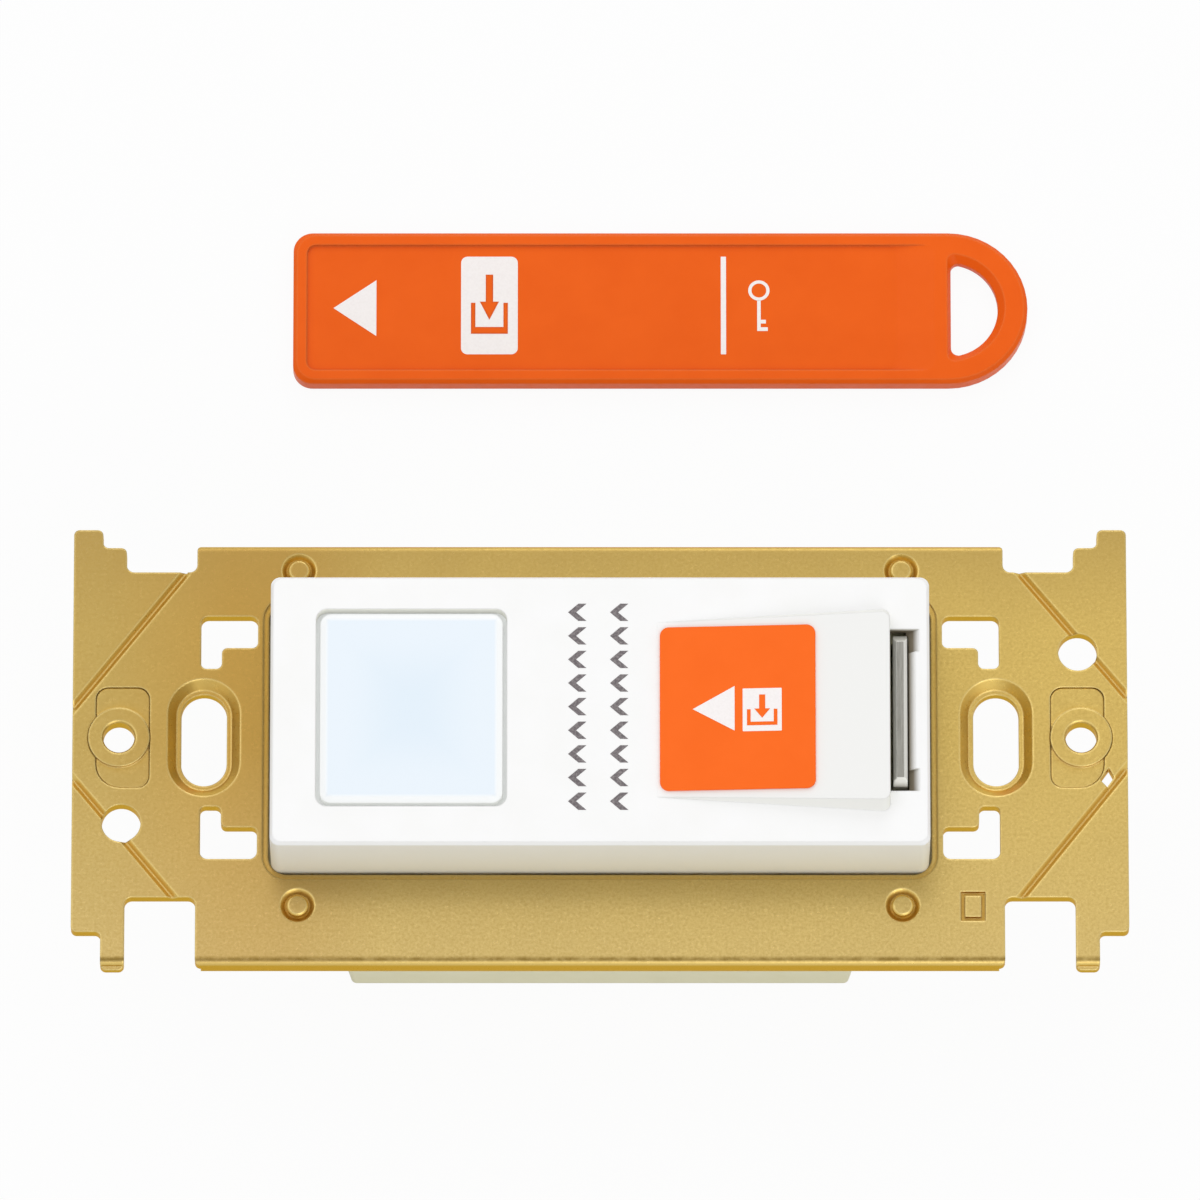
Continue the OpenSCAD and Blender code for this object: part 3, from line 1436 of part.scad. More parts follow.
module key_tag() {
    color([0.93, 0.4, 0.12]) translate([key_x, key_y, -rear_z]) difference() {
        hull() {
            linear_extrude(0.02) key_outline(key_edge);
            translate([0, 0, key_edge]) linear_extrude(key_t - 2 * key_edge) key_outline(0);
            translate([0, 0, key_t - 0.02]) linear_extrude(0.02) key_outline(key_edge);
        }
        translate([0, 0, -over]) linear_extrude(far) loop_hole(0);
        translate([0, 0, key_t]) key_face_cuts();
        mirror([0, 0, 1]) key_face_cuts();
    }
}

mounting_frame();
plate_screw_nuts();
frame_rivets();
front_cover();
window_lens();
direction_label();
slot_shutter();
shutter_spring();
rear_housing();
rear_cover();
rear_cover_screws();
key_guide_lower();
key_guide_upper();
guide_screws();
microswitch_body();
microswitch_lever();
microswitch_lever_pin();
microswitch_plunger();
microswitch_pins();
microswitch_leads();
circuit_board();
board_screws();
relay();
smoothing_capacitor();
window_leds();
light_box();
light_diffuser();
terminal_block();
terminal_busbars();
terminal_springs();
key_tag();
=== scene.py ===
import json
import math

import bmesh
import bpy
from mathutils import Matrix, Vector


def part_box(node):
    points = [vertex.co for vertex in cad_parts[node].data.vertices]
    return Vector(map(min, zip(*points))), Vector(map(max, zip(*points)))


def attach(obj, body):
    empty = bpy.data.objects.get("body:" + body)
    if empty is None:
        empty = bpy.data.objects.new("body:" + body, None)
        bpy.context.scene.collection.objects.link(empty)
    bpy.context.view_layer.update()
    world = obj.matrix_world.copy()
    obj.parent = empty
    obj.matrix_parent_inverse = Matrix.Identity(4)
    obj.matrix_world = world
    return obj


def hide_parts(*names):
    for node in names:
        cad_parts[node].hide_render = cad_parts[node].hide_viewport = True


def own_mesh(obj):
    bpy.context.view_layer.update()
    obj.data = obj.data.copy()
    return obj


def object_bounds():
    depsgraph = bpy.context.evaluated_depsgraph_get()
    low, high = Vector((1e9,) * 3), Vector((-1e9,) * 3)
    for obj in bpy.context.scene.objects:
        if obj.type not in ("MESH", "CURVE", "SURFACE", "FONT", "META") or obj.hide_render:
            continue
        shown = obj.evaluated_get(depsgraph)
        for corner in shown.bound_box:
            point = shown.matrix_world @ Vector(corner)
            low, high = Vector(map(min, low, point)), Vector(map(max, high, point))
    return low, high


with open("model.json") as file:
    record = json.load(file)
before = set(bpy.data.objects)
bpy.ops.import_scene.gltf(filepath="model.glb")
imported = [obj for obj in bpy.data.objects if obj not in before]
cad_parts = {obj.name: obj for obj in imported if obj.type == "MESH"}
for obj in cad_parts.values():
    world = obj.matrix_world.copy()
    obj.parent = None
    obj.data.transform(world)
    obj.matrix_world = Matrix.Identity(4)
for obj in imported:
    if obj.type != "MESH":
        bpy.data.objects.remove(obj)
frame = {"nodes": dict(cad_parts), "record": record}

MM = 0.001
WELD = 1e-7

CAD_LOW, CAD_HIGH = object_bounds()
KEY_LOW, KEY_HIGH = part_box("key_tag")
COVER_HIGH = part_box("front_cover")[1]
LENS_LOW, LENS_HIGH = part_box("window_lens")
FRAME_LOW, FRAME_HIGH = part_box("mounting_frame")
SHUTTER_LOW, SHUTTER_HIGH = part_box("slot_shutter")

# The photograph looks along the object from a steep angle above its long side
CAMERA_ELEVATION = math.radians(72)
CAMERA_DISTANCE = 2.005
CAMERA_TARGET = Vector((0, 15.75 * MM, 0))
CAMERA_LENS = 569
CAMERA_CLIP = (0.1, 20)
SENSOR = 36

# The floor: its own grey, how bright it looks, and how much of it looks white whatever falls on it
FLOOR_GREY = (0.6, 0.6, 0.6, 1)
FLOOR_GLOW = 1.02
WHITE_SHARE = 0.92
FLOOR_REACH = 3.0
FLOOR_DROP = 0.02 * MM

# The world's fill light, and each softbox: its name, its place, its width and its power
AMBIENT = 0.72
SOFTBOXES = [
    ("key_light", (-0.45, 0.45, 0.9), 0.9, 2.05),
    ("rim_light", (0.15, 1.1, 0.65), 0.7, 2.6),
    ("fill_light", (0.35, -0.7, 0.6), 0.7, 2.2),
]

# Where the frame's lower folded edge starts to round, along which a dark line of shade is painted
FOLD_Y = FRAME_LOW.y + 1.1 * MM

# The walls of the key slot, which stand round the shutter and bound the brown shade painted inside it
SLOT_X = SHUTTER_LOW.x - 0.5 * MM
SLOT_END_X = COVER_HIGH.x - 0.6 * MM
SLOT_SIDE_Y = SHUTTER_HIGH.y + 0.5 * MM

# The surfaces that carry the prints, in millimetres: the face, the label on its ramp, the sunk panel
FACE_Z = 11.2
RAMP_X = 6
RAMP_RISE = 1.7
RAMP_RUN = 24.4
LABEL_TOP = 0.27
PANEL_DEPTH = 0.3
INK = 0.02

# How much of the lens's colour glows: a painted glow, with no lamp behind the lens.
LENS_GLOW = 0.15

# Noise: the range that it mostly stays in, the range that cuts it into clouds, and the sizes in
# millimetres of the broad clouds in a colour and of a moulded piece's fine skin
NOISE_RANGE = (0.3, 0.7)
CLOUD_RANGE = (0.35, 0.7)
CLOUD = 6
PEEL = 0.5
SHADER_SAMPLES = 6


def colour(red, green, blue):
    """A colour given as it shows on a screen, from 0 to 255, as Blender's linear values."""
    values = [c / 255 for c in (red, green, blue)]
    return [c / 12.92 if c <= 0.04045 else ((c + 0.055) / 1.055) ** 2.4 for c in values] + [1]


class Surface:
    """A material under construction: a Principled shader and the nodes that drive it."""

    def __init__(self, name, **values):
        self.material = bpy.data.materials.new(name)
        self.material.use_nodes = True
        self.tree = self.material.node_tree
        self.shader = self.tree.nodes["Principled BSDF"]
        self.point = self.node("ShaderNodeTexCoord").outputs["Object"]
        for socket, value in values.items():
            self.shader.inputs[socket.replace("_", " ")].default_value = value

    def node(self, kind, **settings):
        """A new node with its settings."""
        made = self.tree.nodes.new(kind)
        for name, value in settings.items():
            setattr(made, name, value)
        return made

    def link(self, source, target):
        """Join an output to an input."""
        self.tree.links.new(source, target)

    def drive(self, socket, source):
        """Let an output set one of the shader's own inputs."""
        self.link(source, self.shader.inputs[socket])

    def stretched(self, x, y, z):
        """Object coordinates scaled along each axis, for grain that runs one way."""
        mapping = self.node("ShaderNodeMapping")
        mapping.inputs["Scale"].default_value = (x, y, z)
        self.link(self.point, mapping.inputs["Vector"])
        return mapping.outputs["Vector"]

    def noise(self, size, detail=3, rough=0.55, vector=None):
        """Noise with features about size millimetres across."""
        made = self.node("ShaderNodeTexNoise")
        made.inputs["Scale"].default_value = 1 / (size * MM)
        made.inputs["Detail"].default_value = detail
        made.inputs["Roughness"].default_value = rough
        self.link(vector or self.point, made.inputs["Vector"])
        return made.outputs["Fac"]

    def ramped(self, source, low, high, out_low, out_high, smooth=False):
        """A value between low and high, spread over out_low to out_high."""
        made = self.node("ShaderNodeMapRange")
        if smooth:
            made.interpolation_type = "SMOOTHSTEP"
        limits = {"From Min": low, "From Max": high, "To Min": out_low, "To Max": out_high}
        for socket, value in limits.items():
            made.inputs[socket].default_value = value
        self.link(source, made.inputs["Value"])
        return made.outputs["Result"]

    def maths(self, operation, first, second=None):
        """One sum, each part of it a number or a socket."""
        made = self.node("ShaderNodeMath", operation=operation)
        for socket, value in zip(made.inputs, (first, second)):
            if isinstance(value, (int, float)):
                socket.default_value = value
            elif value is not None:
                self.link(value, socket)
        return made.outputs[0]

    def product(self, first, *others):
        """Shares multiplied with one another."""
        for other in others:
            first = self.maths("MULTIPLY", first, other)
        return first

    def mixed(self, factor, first, second):
        """Two colours mixed, each given as a value or a socket."""
        made = self.node("ShaderNodeMix", data_type="RGBA")
        sockets = [s for s in made.inputs if s.type == "RGBA"]
        for socket, value in zip([made.inputs["Factor"], *sockets], (factor, first, second)):
            if isinstance(value, bpy.types.NodeSocket):
                self.link(value, socket)
            else:
                socket.default_value = value
        return next(s for s in made.outputs if s.type == "RGBA")

    def tinted(self, base, mask, share, shade):
        """A colour turned towards a shade, by no more than share, where the mask is 1."""
        return self.mixed(self.ramped(mask, 0, 1, 0, share), base, shade)

    def clouded(self, base, shade):
        """Two shades of one colour in broad, soft clouds."""
        return self.mixed(self.ramped(self.noise(CLOUD), *CLOUD_RANGE, 0, 1), base, shade)

    def uneven(self, size, low, high, detail=3):
        """A value that wanders between low and high over about size millimetres."""
        return self.ramped(self.noise(size, detail), *NOISE_RANGE, low, high)

    def along(self, axis):
        """One object coordinate, in metres."""
        made = self.node("ShaderNodeSeparateXYZ")
        self.link(self.point, made.inputs[0])
        return made.outputs[axis]

    def within(self, axis, low, high):
        """1 between two places along an axis, 0 outside them."""
        above = self.maths("GREATER_THAN", self.along(axis), low)
        return self.product(above, self.maths("LESS_THAN", self.along(axis), high))

    def band(self, axis, places, share):
        """Along an axis, 0 before the first place, share from the second to the third, 0 past the last."""
        start, full, last, end = places
        place = self.along(axis)
        return self.product(self.ramped(place, start, full, 0, share), self.ramped(place, last, end, 1, 0))

    def soft_edges(self, radius):
        """Normals that round the solid's sharp edges by radius millimetres."""
        made = self.node("ShaderNodeBevel", samples=SHADER_SAMPLES)
        made.inputs["Radius"].default_value = radius * MM
        return made.outputs["Normal"]

    def edge_share(self, soft):
        """1 along the solid's edges and 0 on its faces, from the rounded normals."""
        made = self.node("ShaderNodeVectorMath", operation="DOT_PRODUCT")
        self.link(soft, made.inputs[0])
        self.link(self.node("ShaderNodeNewGeometry").outputs["True Normal"], made.inputs[1])
        flat, sharp = 0.999, 0.94
        return self.ramped(made.outputs["Value"], flat, sharp, 0, 1)

    def recess_share(self, reach):
        """1 in grooves and corners that are about reach millimetres across, 0 on open faces."""
        made = self.node("ShaderNodeAmbientOcclusion", samples=SHADER_SAMPLES, only_local=True)
        made.inputs["Distance"].default_value = reach * MM
        opened, closed = 0.95, 0.35
        return self.ramped(made.outputs["AO"], opened, closed, 0, 1)

    def steep_share(self, level, steep):
        """0 on faces whose normal's height is level or more, 1 where it is steep or less."""
        made = self.node("ShaderNodeSeparateXYZ")
        self.link(self.node("ShaderNodeNewGeometry").outputs["True Normal"], made.inputs[0])
        return self.ramped(self.maths("ABSOLUTE", made.outputs["Z"]), level, steep, 0, 1)

    def slope_share(self):
        """1 on slopes and walls, 0 on level faces."""
        return self.steep_share(level=0.9, steep=0.75)

    def wall_share(self):
        """1 on upright walls, 0 on slopes and level faces."""
        return self.steep_share(level=0.6, steep=0.1)

    def bump(self, source, depth, strength, under=None):
        """Relief whose full height is depth millimetres."""
        made = self.node("ShaderNodeBump")
        made.inputs["Strength"].default_value = strength
        made.inputs["Distance"].default_value = depth * MM
        self.link(source, made.inputs["Height"])
        if under is not None:
            self.link(under, made.inputs["Normal"])
        return made.outputs["Normal"]

    def skin(self, depth, under):
        """The fine orange-peel skin of a moulded piece."""
        return self.bump(self.noise(PEEL, 2), depth, 0.5, under)


def plating_colour(s, speckle):
    """The plating on an open face: warmer towards one end, deeper beside the cover, with painted light and
    shade across it and fine specks.
    """
    end, side = FRAME_HIGH.x, FRAME_HIGH.y
    drift = s.maths("ADD", s.along("X"), s.ramped(s.noise(9, 4, 0.6), *NOISE_RANGE, -12 * MM, 12 * MM))
    base = s.mixed(s.ramped(drift, -end, end, 0, 1), colour(168, 143, 82), colour(200, 172, 97))
    beside_cover = s.band("X", [share * end for share in (-0.95, -0.7, -0.6, -0.4)], 0.6)
    base = s.mixed(beside_cover, base, colour(160, 118, 48))
    # Painted light and shade: paler towards -Y and darker near the +Y edge.
    base = s.mixed(s.ramped(s.along("Y"), 0, -side, 0, 0.4), base, colour(206, 184, 130))
    base = s.mixed(s.ramped(s.along("Y"), 0.5 * side, side, 0, 0.5), base, colour(146, 120, 70))
    return s.mixed(s.ramped(speckle, *CLOUD_RANGE, 0, 0.45), base, colour(158, 129, 64))


def painted_fold_shade(s):
    """Painted shade along the frame's lower fold, in an uneven dark line."""
    fold = s.band("Y", [FOLD_Y + beside * MM for beside in (-0.4, -0.2, 0, 0.3)], 0.8)
    return s.product(fold, s.ramped(s.noise(1.1, 4, 0.7), 0.35, 0.6, 0.4, 1))


def plated_steel():
    """Yellow zinc plating: cloudy, with painted light and shade: pale on its slopes, golden on its walls,
    amber in its recesses, dark along its lower fold and bright at its edges.
    """
    s = Surface("plated_steel", Specular_Tint=colour(248, 222, 172))
    speckle, soft = s.noise(0.32, 2, 0.7), s.soft_edges(0.3)
    recess, walls = s.recess_share(1.1), s.wall_share()
    base = plating_colour(s, speckle)
    # Painted reflection: slopes turned pale gold.
    base = s.tinted(base, s.slope_share(), 0.55, colour(228, 198, 112))
    # Painted shade: grooves and corners turned amber.
    base = s.tinted(base, recess, 0.85, colour(198, 152, 52))
    # Painted shade and reflection: upright walls turned deep gold.
    base = s.tinted(base, walls, 0.9, colour(190, 154, 54))
    # Painted highlights: bright gold along the edges.
    base = s.tinted(base, s.edge_share(soft), 0.5, colour(240, 218, 150))
    # Painted shade: a dark line along the lower fold.
    s.drive("Base Color", s.mixed(painted_fold_shade(s), base, colour(126, 100, 40)))
    s.drive("Metallic", s.maths("MAXIMUM", s.ramped(recess, 0, 1, 1, 0.4), walls))
    s.drive("Roughness", s.ramped(speckle, *NOISE_RANGE, 0.26, 0.38))
    waves = s.bump(s.noise(1.6, 2), 0.02, 0.35, soft)
    s.drive("Normal", s.bump(s.noise(0.16, 3, 0.7), 0.012, 0.6, waves))
    return s.material


def moulded(name, base, shade, rough, edge=0.12, peel=0.006):
    """Moulded plastic: a faint cloud in the colour, uneven gloss, an orange-peel skin and soft edges."""
    s = Surface(name, Specular_IOR_Level=0.14)
    s.drive("Base Color", s.clouded(base, shade))
    s.drive("Roughness", s.uneven(1.2, rough - 0.04, rough + 0.05))
    s.drive("Normal", s.skin(peel, s.soft_edges(edge)))
    return s.material


def cover_plastic():
    """White plastic: duller on the ramp, which is also a painted shade greyer, with painted bounce light
    warm low on its walls and painted shade brown inside the key slot.
    """
    s = Surface("white_plastic", Specular_IOR_Level=0.14)
    height = s.along("Z")
    raised = s.ramped(height, (FACE_Z + 0.02) * MM, (FACE_Z + 0.2) * MM, 0, 1)
    # Painted shade: the ramp a touch greyer than the face.
    base = s.mixed(raised, s.clouded(colour(248, 248, 248), colour(246, 246, 245)), colour(240, 240, 238))
    # Painted bounce light from the gold frame: the walls tinted warm, more so low down.
    low = s.ramped(height, 10 * MM, 1.6 * MM, 0.25, 0.4)
    base = s.mixed(s.product(low, s.wall_share()), base, colour(232, 230, 190))
    # Painted shade: brown inside the key slot, below the face.
    sunk = s.ramped(height, (FACE_Z - 0.1) * MM, (FACE_Z - 0.7) * MM, 0, 0.9)
    slot = s.product(sunk, s.within("X", SLOT_X, SLOT_END_X), s.within("Y", -SLOT_SIDE_Y, SLOT_SIDE_Y))
    s.drive("Base Color", s.mixed(slot, base, colour(112, 98, 70)))
    s.drive("Roughness", s.maths("ADD", s.uneven(1.2, 0.3, 0.39), s.ramped(raised, 0, 1, 0, 0.15)))
    s.drive("Normal", s.skin(0.006, s.soft_edges(0.25)))
    return s.material


def key_plastic():
    """Orange plastic, with painted highlights paler along its edges and painted shade deeper in the step
    round its panel.
    """
    s = Surface("key_plastic", Specular_IOR_Level=0.12)
    soft = s.soft_edges(0.3)
    base = s.clouded(colour(240, 98, 16), colour(236, 94, 12))
    # Painted shade: deeper orange in the step round the panel and other recesses.
    base = s.tinted(base, s.recess_share(0.8), 0.8, colour(200, 70, 6))
    # Painted highlights: paler orange along the edges.
    s.drive("Base Color", s.tinted(base, s.edge_share(soft), 0.4, colour(246, 136, 72)))
    s.drive("Roughness", s.uneven(1.2, 0.3, 0.4))
    s.drive("Normal", s.skin(0.006, soft))
    return s.material


def lens_plastic():
    """Opal plastic with a painted glow, as if lit softly from within: blue in the middle and a painted
    highlight white at its bevelled edge.
    """
    s = Surface("lens_plastic", Roughness=0.16, Specular_IOR_Level=0.2, Emission_Strength=LENS_GLOW)
    middle, half = (LENS_LOW + LENS_HIGH) / 2, (LENS_HIGH - LENS_LOW) / 2
    flange, bevel, white = 0.95 * MM, 0.95 * MM, 0.5 * MM
    past_edge = s.maths("MAXIMUM", *(
        s.maths("SUBTRACT", s.maths("ABSOLUTE", s.maths("SUBTRACT", s.along(axis), centre)), reach - flange)
        for axis, centre, reach in (("X", middle.x, half.x), ("Y", middle.y, half.y))
    ))
    # Painted glow: blue in the middle and paler outwards.
    outwards = s.ramped(past_edge, -9 * MM, -2 * MM, 0, 1, smooth=True)
    glow = s.mixed(outwards, colour(226, 238, 248), colour(233, 242, 250))
    # A painted highlight: near white along the bevelled edge.
    base = s.mixed(s.ramped(past_edge, -bevel, -white, 0, 1, smooth=True), glow, colour(249, 251, 252))
    # Part of that colour is given off as the painted glow.
    s.drive("Base Color", s.mixed(LENS_GLOW, base, colour(0, 0, 0)))
    s.drive("Emission Color", base)
    s.drive("Normal", s.bump(s.noise(2.5, 2), 0.004, 0.4, s.soft_edges(0.15)))
    return s.material


def brushed(name, base, bright, rough):
    """Bare metal with brush marks that run along Y, and painted highlights on its slopes and edges."""
    s = Surface(name, Metallic=0.6)
    marks = s.noise(0.12, 4, 0.7, s.stretched(1, 0.04, 1))
    soft = s.soft_edges(0.2)
    body = s.mixed(s.ramped(marks, 0.35, 0.68, 0, 1), base, bright)
    # Painted highlights: slopes and bevels turned near white.
    body = s.tinted(body, s.slope_share(), 0.7, colour(240, 239, 232))
    # Painted highlights along the edges.
    s.drive("Base Color", s.tinted(body, s.edge_share(soft), 0.7, colour(226, 226, 220)))
    s.drive("Roughness", s.uneven(0.7, rough - 0.06, rough + 0.08))
    s.drive("Normal", s.bump(marks, 0.006, 0.5, soft))
    return s.material


def board_material():
    """Green solder mask over tracks that show as a paler net."""
    s = Surface("board", Roughness=0.42)
    tracks_in_a_metre, track_width = 260, 0.03
    tracks = s.node("ShaderNodeTexBrick")
    tracks.inputs["Scale"].default_value = tracks_in_a_metre
    tracks.inputs["Mortar Size"].default_value = track_width
    for socket, shade in (("Color1", (16, 78, 44)), ("Color2", (18, 84, 48)), ("Mortar", (52, 122, 74))):
        tracks.inputs[socket].default_value = colour(*shade)
    s.link(s.point, tracks.inputs["Vector"])
    s.drive("Base Color", tracks.outputs["Color"])
    s.drive("Normal", s.bump(tracks.outputs["Fac"], 0.03, 0.5))
    return s.material


def ink(name, shade):
    """Printed ink: matt, with a slight grain at its edges and in its gloss."""
    s = Surface(name)
    grain = s.ramped(s.noise(0.25), 0.4, 0.8, 0, 0.3)
    s.drive("Base Color", s.mixed(grain, shade, colour(226, 218, 216)))
    s.drive("Roughness", s.uneven(0.4, 0.42, 0.55, detail=2))
    return s.material


MATERIALS = {
    "plated_steel": plated_steel(),
    "white_plastic": cover_plastic(),
    "lens_plastic": lens_plastic(),
    "label_film": moulded("label_film", colour(251, 108, 26), colour(248, 105, 22), 0.42, 0.05, 0.002),
    "key_plastic": key_plastic(),
    "steel": brushed("steel", colour(128, 126, 119), colour(158, 156, 149), 0.34),
    "spring_steel": brushed("spring_steel", colour(150, 150, 146), colour(182, 181, 176), 0.28),
    "beige_plastic": moulded("beige_plastic", colour(233, 229, 198), colour(230, 226, 193), 0.5, 0.2, 0.01),
    "brass": brushed("brass", colour(196, 158, 84), colour(222, 188, 112), 0.26),
    "board": board_material(),
    "dark_plastic": moulded("dark_plastic", colour(38, 38, 41), colour(46, 46, 49), 0.48, 0.15, 0.01),
    "red_plastic": moulded("red_plastic", colour(176, 40, 32), colour(164, 34, 28), 0.34),
    "capacitor_sleeve": moulded("capacitor_sleeve", colour(34, 46, 92), colour(28, 38, 80), 0.3),
    "led_resin": moulded("led_resin", colour(242, 236, 188), colour(236, 228, 172), 0.22),
}

PRINT_WHITE = ink("print_white", colour(246, 241, 240))
PRINT_GREY = ink("print_grey", colour(96, 89, 92))
SLOTS = {part["node"]: part["material_slot"] for part in frame["record"]["subparts"]}
BODIES = frame["record"]["behaviour"]["bodies"]
BODY_OF = {node: body for body, nodes in BODIES.items() for node in nodes}


def add_piece(name, mesh, body, material):
    """A mesh in the frame's coordinates becomes a piece that rides on a body."""
    mesh.materials.clear()
    mesh.materials.append(material)
    piece = bpy.data.objects.new(name, mesh)
    bpy.context.scene.collection.objects.link(piece)
    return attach(piece, body)


def filled_mesh(name, loops):
    """A flat sheet as thick as the ink, on z = 0: loops in millimetres, one inside another for a hole."""
    curve = bpy.data.curves.new(name, "CURVE")
    curve.dimensions = "2D"
    curve.fill_mode = "BOTH"
    curve.extrude = INK / 2
    for loop in loops:
        spline = curve.splines.new("POLY")
        spline.points.add(len(loop) - 1)
        for point, (x, y) in zip(spline.points, loop):
            point.co = (x, y, 0, 1)
        spline.use_cyclic_u = True
    shape = bpy.data.objects.new(name, curve)
    bpy.context.scene.collection.objects.link(shape)
    bpy.context.view_layer.update()
    mesh = bpy.data.meshes.new_from_object(shape.evaluated_get(bpy.context.evaluated_depsgraph_get()))
    bpy.data.objects.remove(shape)
    return mesh


def welded(mesh):
    """Join the points that lie on one another and turn every face outwards."""
    bm = bmesh.new()
    bm.from_mesh(mesh)
    bmesh.ops.remove_doubles(bm, verts=bm.verts, dist=WELD)
    bmesh.ops.recalc_face_normals(bm, faces=bm.faces)
    bm.to_mesh(mesh)
    bm.free()
    return mesh


class Press:
    """Puts prints on one surface: their names' start, the surface's place, its body and its slot, which is
    not used.
    """

    def __init__(self, start, place, body, slot):
        self.start, self.place, self.body, self.slot = start, place, body, slot

    def add(self, name, loops, material, layer=0):
        """One print, on the surface or on a layer of ink that is there already."""
        full_name = f"{self.start}_{name}"
        mesh = filled_mesh(full_name, loops)
        lift = Matrix.Translation((0, 0, (layer + 0.5) * INK * MM))
        mesh.transform(self.place @ lift @ Matrix.Scale(MM, 4))
        mesh = welded(mesh)
        mesh.name = full_name
        return add_piece(full_name, mesh, self.body, material)


def box_loop(x, y, length, width, radius, steps=6):
    """A rectangle about (x, y) with round corners."""
    points = []
    for turn, (side_x, side_y) in enumerate(((1, 1), (-1, 1), (-1, -1), (1, -1))):
        centre_x, centre_y = x + side_x * (length / 2 - radius), y + side_y * (width / 2 - radius)
        for step in range(steps + 1):
            angle = math.radians(90 * (turn + step / steps))
            points.append((centre_x + radius * math.cos(angle), centre_y + radius * math.sin(angle)))
    return points


def circle_loop(x, y, radius, steps=32):
    """A circle about (x, y)."""
    turns = [math.tau * step / steps for step in range(steps)]
    return [(x + radius * math.cos(turn), y + radius * math.sin(turn)) for turn in turns]


def triangle_loop(tip_x, base_x, y, half):
    """A triangle that points to -X."""
    return [(tip_x, y), (base_x, y - half), (base_x, y + half)]


def tray_loops(x, y, length, width):
    """An arrow that points to -Y above an open tray, drawn about (x, y): (arrow, tray)."""
    shaft, head, top, neck, tip = 0.1, 0.26, 0.5, 0.02, -0.3
    arrow = [
        (-shaft, top), (-shaft, neck), (-head, neck), (0, tip), (head, neck), (shaft, neck), (shaft, top)
    ]
    side, wall, rim, floor = 0.5, 0.12, 0.0, -0.55
    tray = [
        (-side, rim), (-side, floor), (side, floor), (side, rim),
        (side - wall, rim), (side - wall, floor + wall), (-side + wall, floor + wall), (-side + wall, rim)
    ]
    return [[(x + length * px, y + width * py) for px, py in loop] for loop in (arrow, tray)]


def bow_loops(x, y):
    """The ring of a small old-fashioned key: its outer and its inner edge."""
    outer, inner = 1.15, 0.8
    return [circle_loop(x, y, outer), circle_loop(x, y, inner)]


def bit_loop(x, top, foot):
    """The stem of the small key, with its two teeth towards +X."""
    stem, long_tooth, short_tooth = 0.19, 0.95, 0.75
    tooth, gap = 0.42, 0.43
    low, high = foot + tooth, foot + tooth + gap
    return [
        (x - stem, top), (x - stem, foot), (x + long_tooth, foot), (x + long_tooth, low),
        (x + stem, low), (x + stem, high), (x + short_tooth, high), (x + short_tooth, high + tooth),
        (x + stem, high + tooth), (x + stem, top),
    ]


def key_prints():
    """White prints in the key tag's sunk panel, each placed along the tag and across it."""
    place = Matrix.Translation((0, 0, KEY_HIGH.z - PANEL_DEPTH * MM))
    press = Press("key_print", place, "key", "key_plastic")
    middle = (KEY_LOW.y + KEY_HIGH.y) / 2 / MM
    y, width = middle + 0.3, 11.1
    tip_x, base_x, half = -28.68, -24.06, 3.17
    box_x, box_length, box_corner = -11.9, 6.1, 0.7
    tray_y, tray_length, tray_width = y + 0.3, 3.968, 6.4
    line_x, line_length, line_corner = 13.28, 0.57, 0.05
    sign_x, bow_y, foot_y, stem_top = 17.1, y + 1.7, y - 2.9, y + 0.58
    press.add("triangle", [triangle_loop(tip_x, base_x, middle, half)], PRINT_WHITE)
    press.add("box", [box_loop(box_x, y, box_length, width, box_corner)], PRINT_WHITE)
    for name, loop in zip(("arrow", "tray"), tray_loops(box_x, tray_y, tray_length, tray_width)):
        press.add(name, [loop], MATERIALS["key_plastic"], layer=1)
    press.add("line", [box_loop(line_x, y, line_length, width, line_corner)], PRINT_WHITE)
    press.add("glyph", bow_loops(sign_x, bow_y), PRINT_WHITE)
    press.add("stem", [bit_loop(sign_x, stem_top, foot_y)], PRINT_WHITE)


def label_prints():
    """White prints on the orange label, in the plane of the ramp."""
    slope = math.atan2(RAMP_RISE, RAMP_RUN)
    place = Matrix.Translation((RAMP_X * MM, 0, FACE_Z * MM)) @ Matrix.Rotation(-slope, 4, "Y")
    place = place @ Matrix.Translation((0, 0, LABEL_TOP * MM))
    press = Press("label_print", place, "switch", "label_film")
    tip_x, base_x, triangle_y, half = 3.75, 8.15, -0.1, 2.45
    box_x, box_y, box_length, box_width, box_corner = 11.05, -0.3, 4.1, 4.7, 0.08
    tray_y, tray_size = box_y + 0.05, 3.2
    press.add("triangle", [triangle_loop(tip_x, base_x, triangle_y, half)], PRINT_WHITE)
    press.add("box", [box_loop(box_x, box_y, box_length, box_width, box_corner)], PRINT_WHITE)
    for name, loop in zip(("arrow", "tray"), tray_loops(box_x, tray_y, tray_size, tray_size)):
        press.add(name, [loop], MATERIALS["label_film"], layer=1)


def chevron_loop(x, y, depth, height, stroke):
    """A chevron that points to -X, drawn about (x, y)."""
    tip, end = x - depth / 2, x + depth / 2
    return [
        (tip, y), (end - stroke, y + height), (end + stroke, y + height),
        (tip + 2 * stroke, y), (end + stroke, y - height), (end - stroke, y - height),
    ]


def direction_marks():
    """Two columns of small chevrons on the face, which point the way that the key tag goes in."""
    press = Press("face_mark", Matrix.Translation((0, 0, FACE_Z * MM)), "switch", "white_plastic")
    columns, count, pitch, middle = (-2.6, 1.8), 9, 2.6, 0.35
    for column, x in enumerate(columns):
        for row in range(count):
            y = (row - (count - 1) / 2) * pitch + middle
            chevron = chevron_loop(x, y, depth=1.5, height=0.95, stroke=0.42)
            press.add(f"{column}_{row}", [chevron], PRINT_GREY)


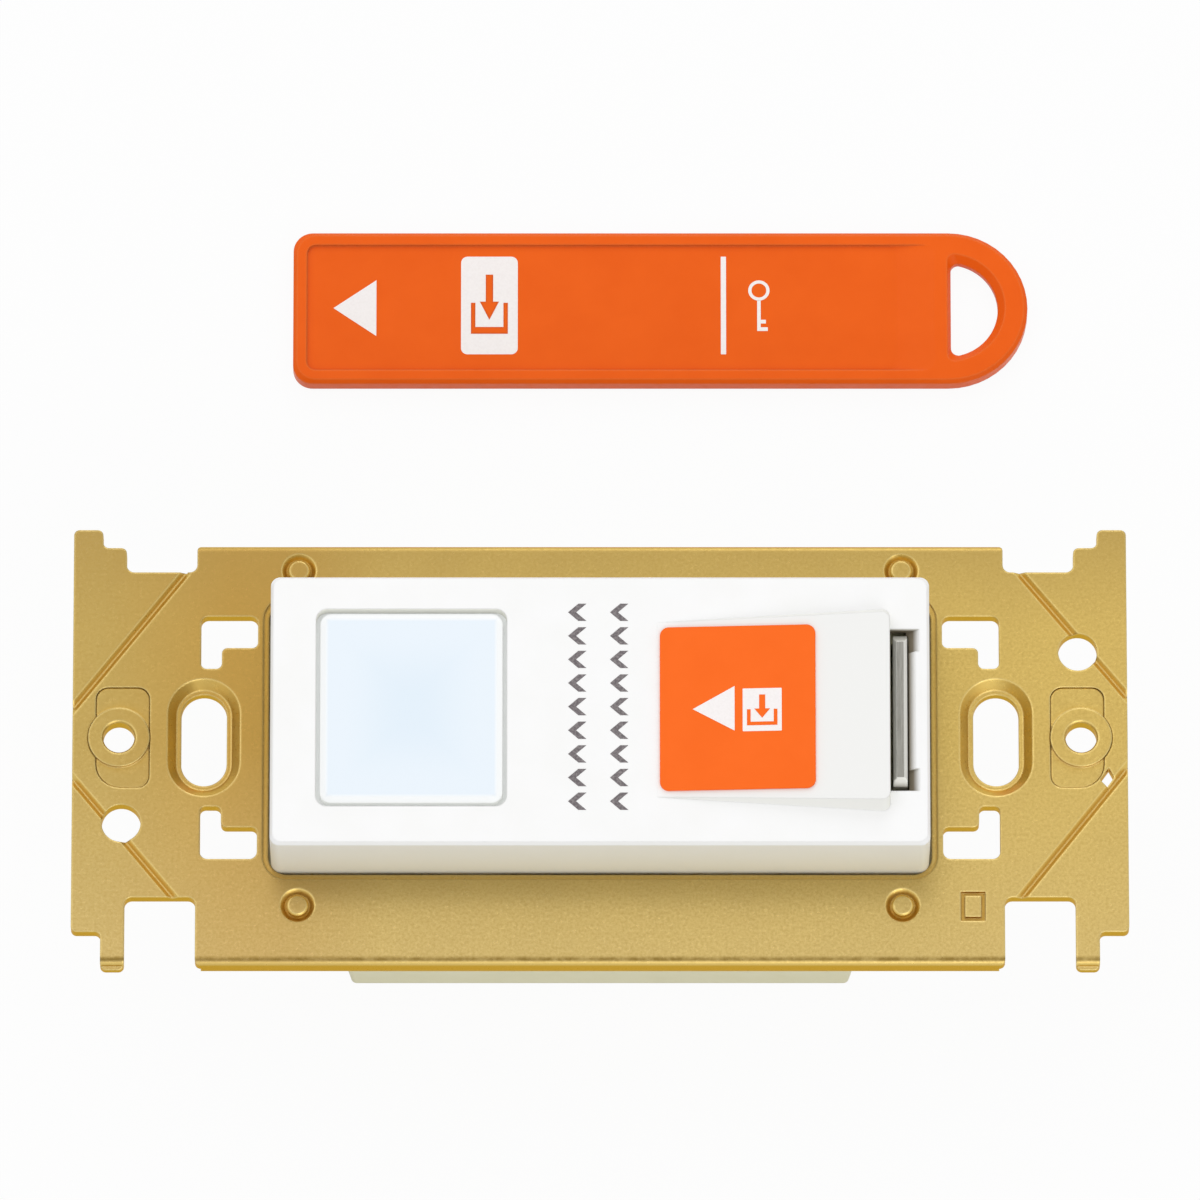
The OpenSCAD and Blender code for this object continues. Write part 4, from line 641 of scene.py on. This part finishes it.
def sprung_coil():
    """The shutter's spring, as the solid has it, as a piece of its own that rides on the spring's body."""
    name, body = "shutter_spring_wire", BODY_OF["shutter_spring"]
    mesh = frame["nodes"]["shutter_spring"].data.copy()
    mesh.name = name
    spring = add_piece(name, mesh, body, MATERIALS["spring_steel"])
    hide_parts("shutter_spring")
    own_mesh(spring)


def dress_nodes():
    """Give every solid of the frame the material of its slot."""
    for name, node in frame["nodes"].items():
        node.data.materials.clear()
        node.data.materials.append(MATERIALS[SLOTS[name]])


def straight_rays(tree):
    """1 for rays that come from the camera, off a shiny surface or through a clear one, 0 for the rest."""
    seen = tree.nodes.new("ShaderNodeLightPath")
    rays = seen.outputs["Is Camera Ray"]
    for other in ("Is Glossy Ray", "Is Transmission Ray"):
        either = tree.nodes.new("ShaderNodeMath")
        either.operation = "MAXIMUM"
        tree.links.new(rays, either.inputs[0])
        tree.links.new(seen.outputs[other], either.inputs[1])
        rays = either.outputs[0]
    return rays


def floor_material():
    """Pale floor: nearly white to the camera and to reflections, with a trace of the soft shadow."""
    material = bpy.data.materials.new("floor")
    material.use_nodes = True
    tree = material.node_tree
    tree.nodes.clear()
    output = tree.nodes.new("ShaderNodeOutputMaterial")
    plain = tree.nodes.new("ShaderNodeBsdfDiffuse")
    plain.inputs["Color"].default_value = FLOOR_GREY
    bright = tree.nodes.new("ShaderNodeEmission")
    bright.inputs["Strength"].default_value = FLOOR_GLOW
    share = tree.nodes.new("ShaderNodeMath")
    share.operation = "MULTIPLY"
    share.inputs[1].default_value = WHITE_SHARE
    tree.links.new(straight_rays(tree), share.inputs[0])
    mix = tree.nodes.new("ShaderNodeMixShader")
    tree.links.new(share.outputs[0], mix.inputs[0])
    tree.links.new(plain.outputs[0], mix.inputs[1])
    tree.links.new(bright.outputs[0], mix.inputs[2])
    tree.links.new(mix.outputs[0], output.inputs["Surface"])
    return material


def add_floor():
    """A wide floor, a hair below the object's lowest point."""
    mesh = bpy.data.meshes.new("floor")
    z = CAD_LOW.z - FLOOR_DROP
    corners = [(x * FLOOR_REACH, y * FLOOR_REACH, z) for x, y in ((-1, -1), (1, -1), (1, 1), (-1, 1))]
    mesh.from_pydata(corners, [], [(0, 1, 2, 3)])
    floor = bpy.data.objects.new("floor", mesh)
    floor.data.materials.append(floor_material())
    bpy.context.scene.collection.objects.link(floor)


def add_world():
    """White to the camera, to metal and to glass, and a softer fill for everything else."""
    world = bpy.data.worlds.new("studio")
    bpy.context.scene.world = world
    world.use_nodes = True
    tree = world.node_tree
    background = tree.nodes["Background"]
    background.inputs["Color"].default_value = (1, 1, 1, 1)
    level = tree.nodes.new("ShaderNodeMapRange")
    level.inputs["To Min"].default_value = AMBIENT
    level.inputs["To Max"].default_value = 1.0
    tree.links.new(straight_rays(tree), level.inputs["Value"])
    tree.links.new(level.outputs["Result"], background.inputs["Strength"])


def add_softbox(name, place, size, power):
    """A square softbox that faces the object."""
    data = bpy.data.lights.new(name, "AREA")
    data.size = size
    data.energy = power
    lamp = bpy.data.objects.new(name, data)
    lamp.location = place
    lamp.rotation_euler = (CAMERA_TARGET - Vector(place)).to_track_quat("-Z", "Y").to_euler()
    lamp.visible_camera = False
    bpy.context.scene.collection.objects.link(lamp)


def add_camera():
    """The camera, at the photograph's angle."""
    data = bpy.data.cameras.new("camera")
    data.type = "PERSP"
    data.lens = CAMERA_LENS
    data.sensor_width = SENSOR
    data.clip_start, data.clip_end = CAMERA_CLIP
    camera = bpy.data.objects.new("camera", data)
    back = Vector((0, -math.cos(CAMERA_ELEVATION), math.sin(CAMERA_ELEVATION)))
    camera.location = CAMERA_TARGET + back * CAMERA_DISTANCE
    camera.rotation_euler = (-back).to_track_quat("-Z", "Y").to_euler()
    bpy.context.scene.collection.objects.link(camera)
    bpy.context.scene.camera = camera


bpy.context.scene.view_settings.view_transform = "Standard"
add_camera()
add_world()
add_floor()
for softbox in SOFTBOXES:
    add_softbox(*softbox)
dress_nodes()
sprung_coil()
key_prints()
label_prints()
direction_marks()
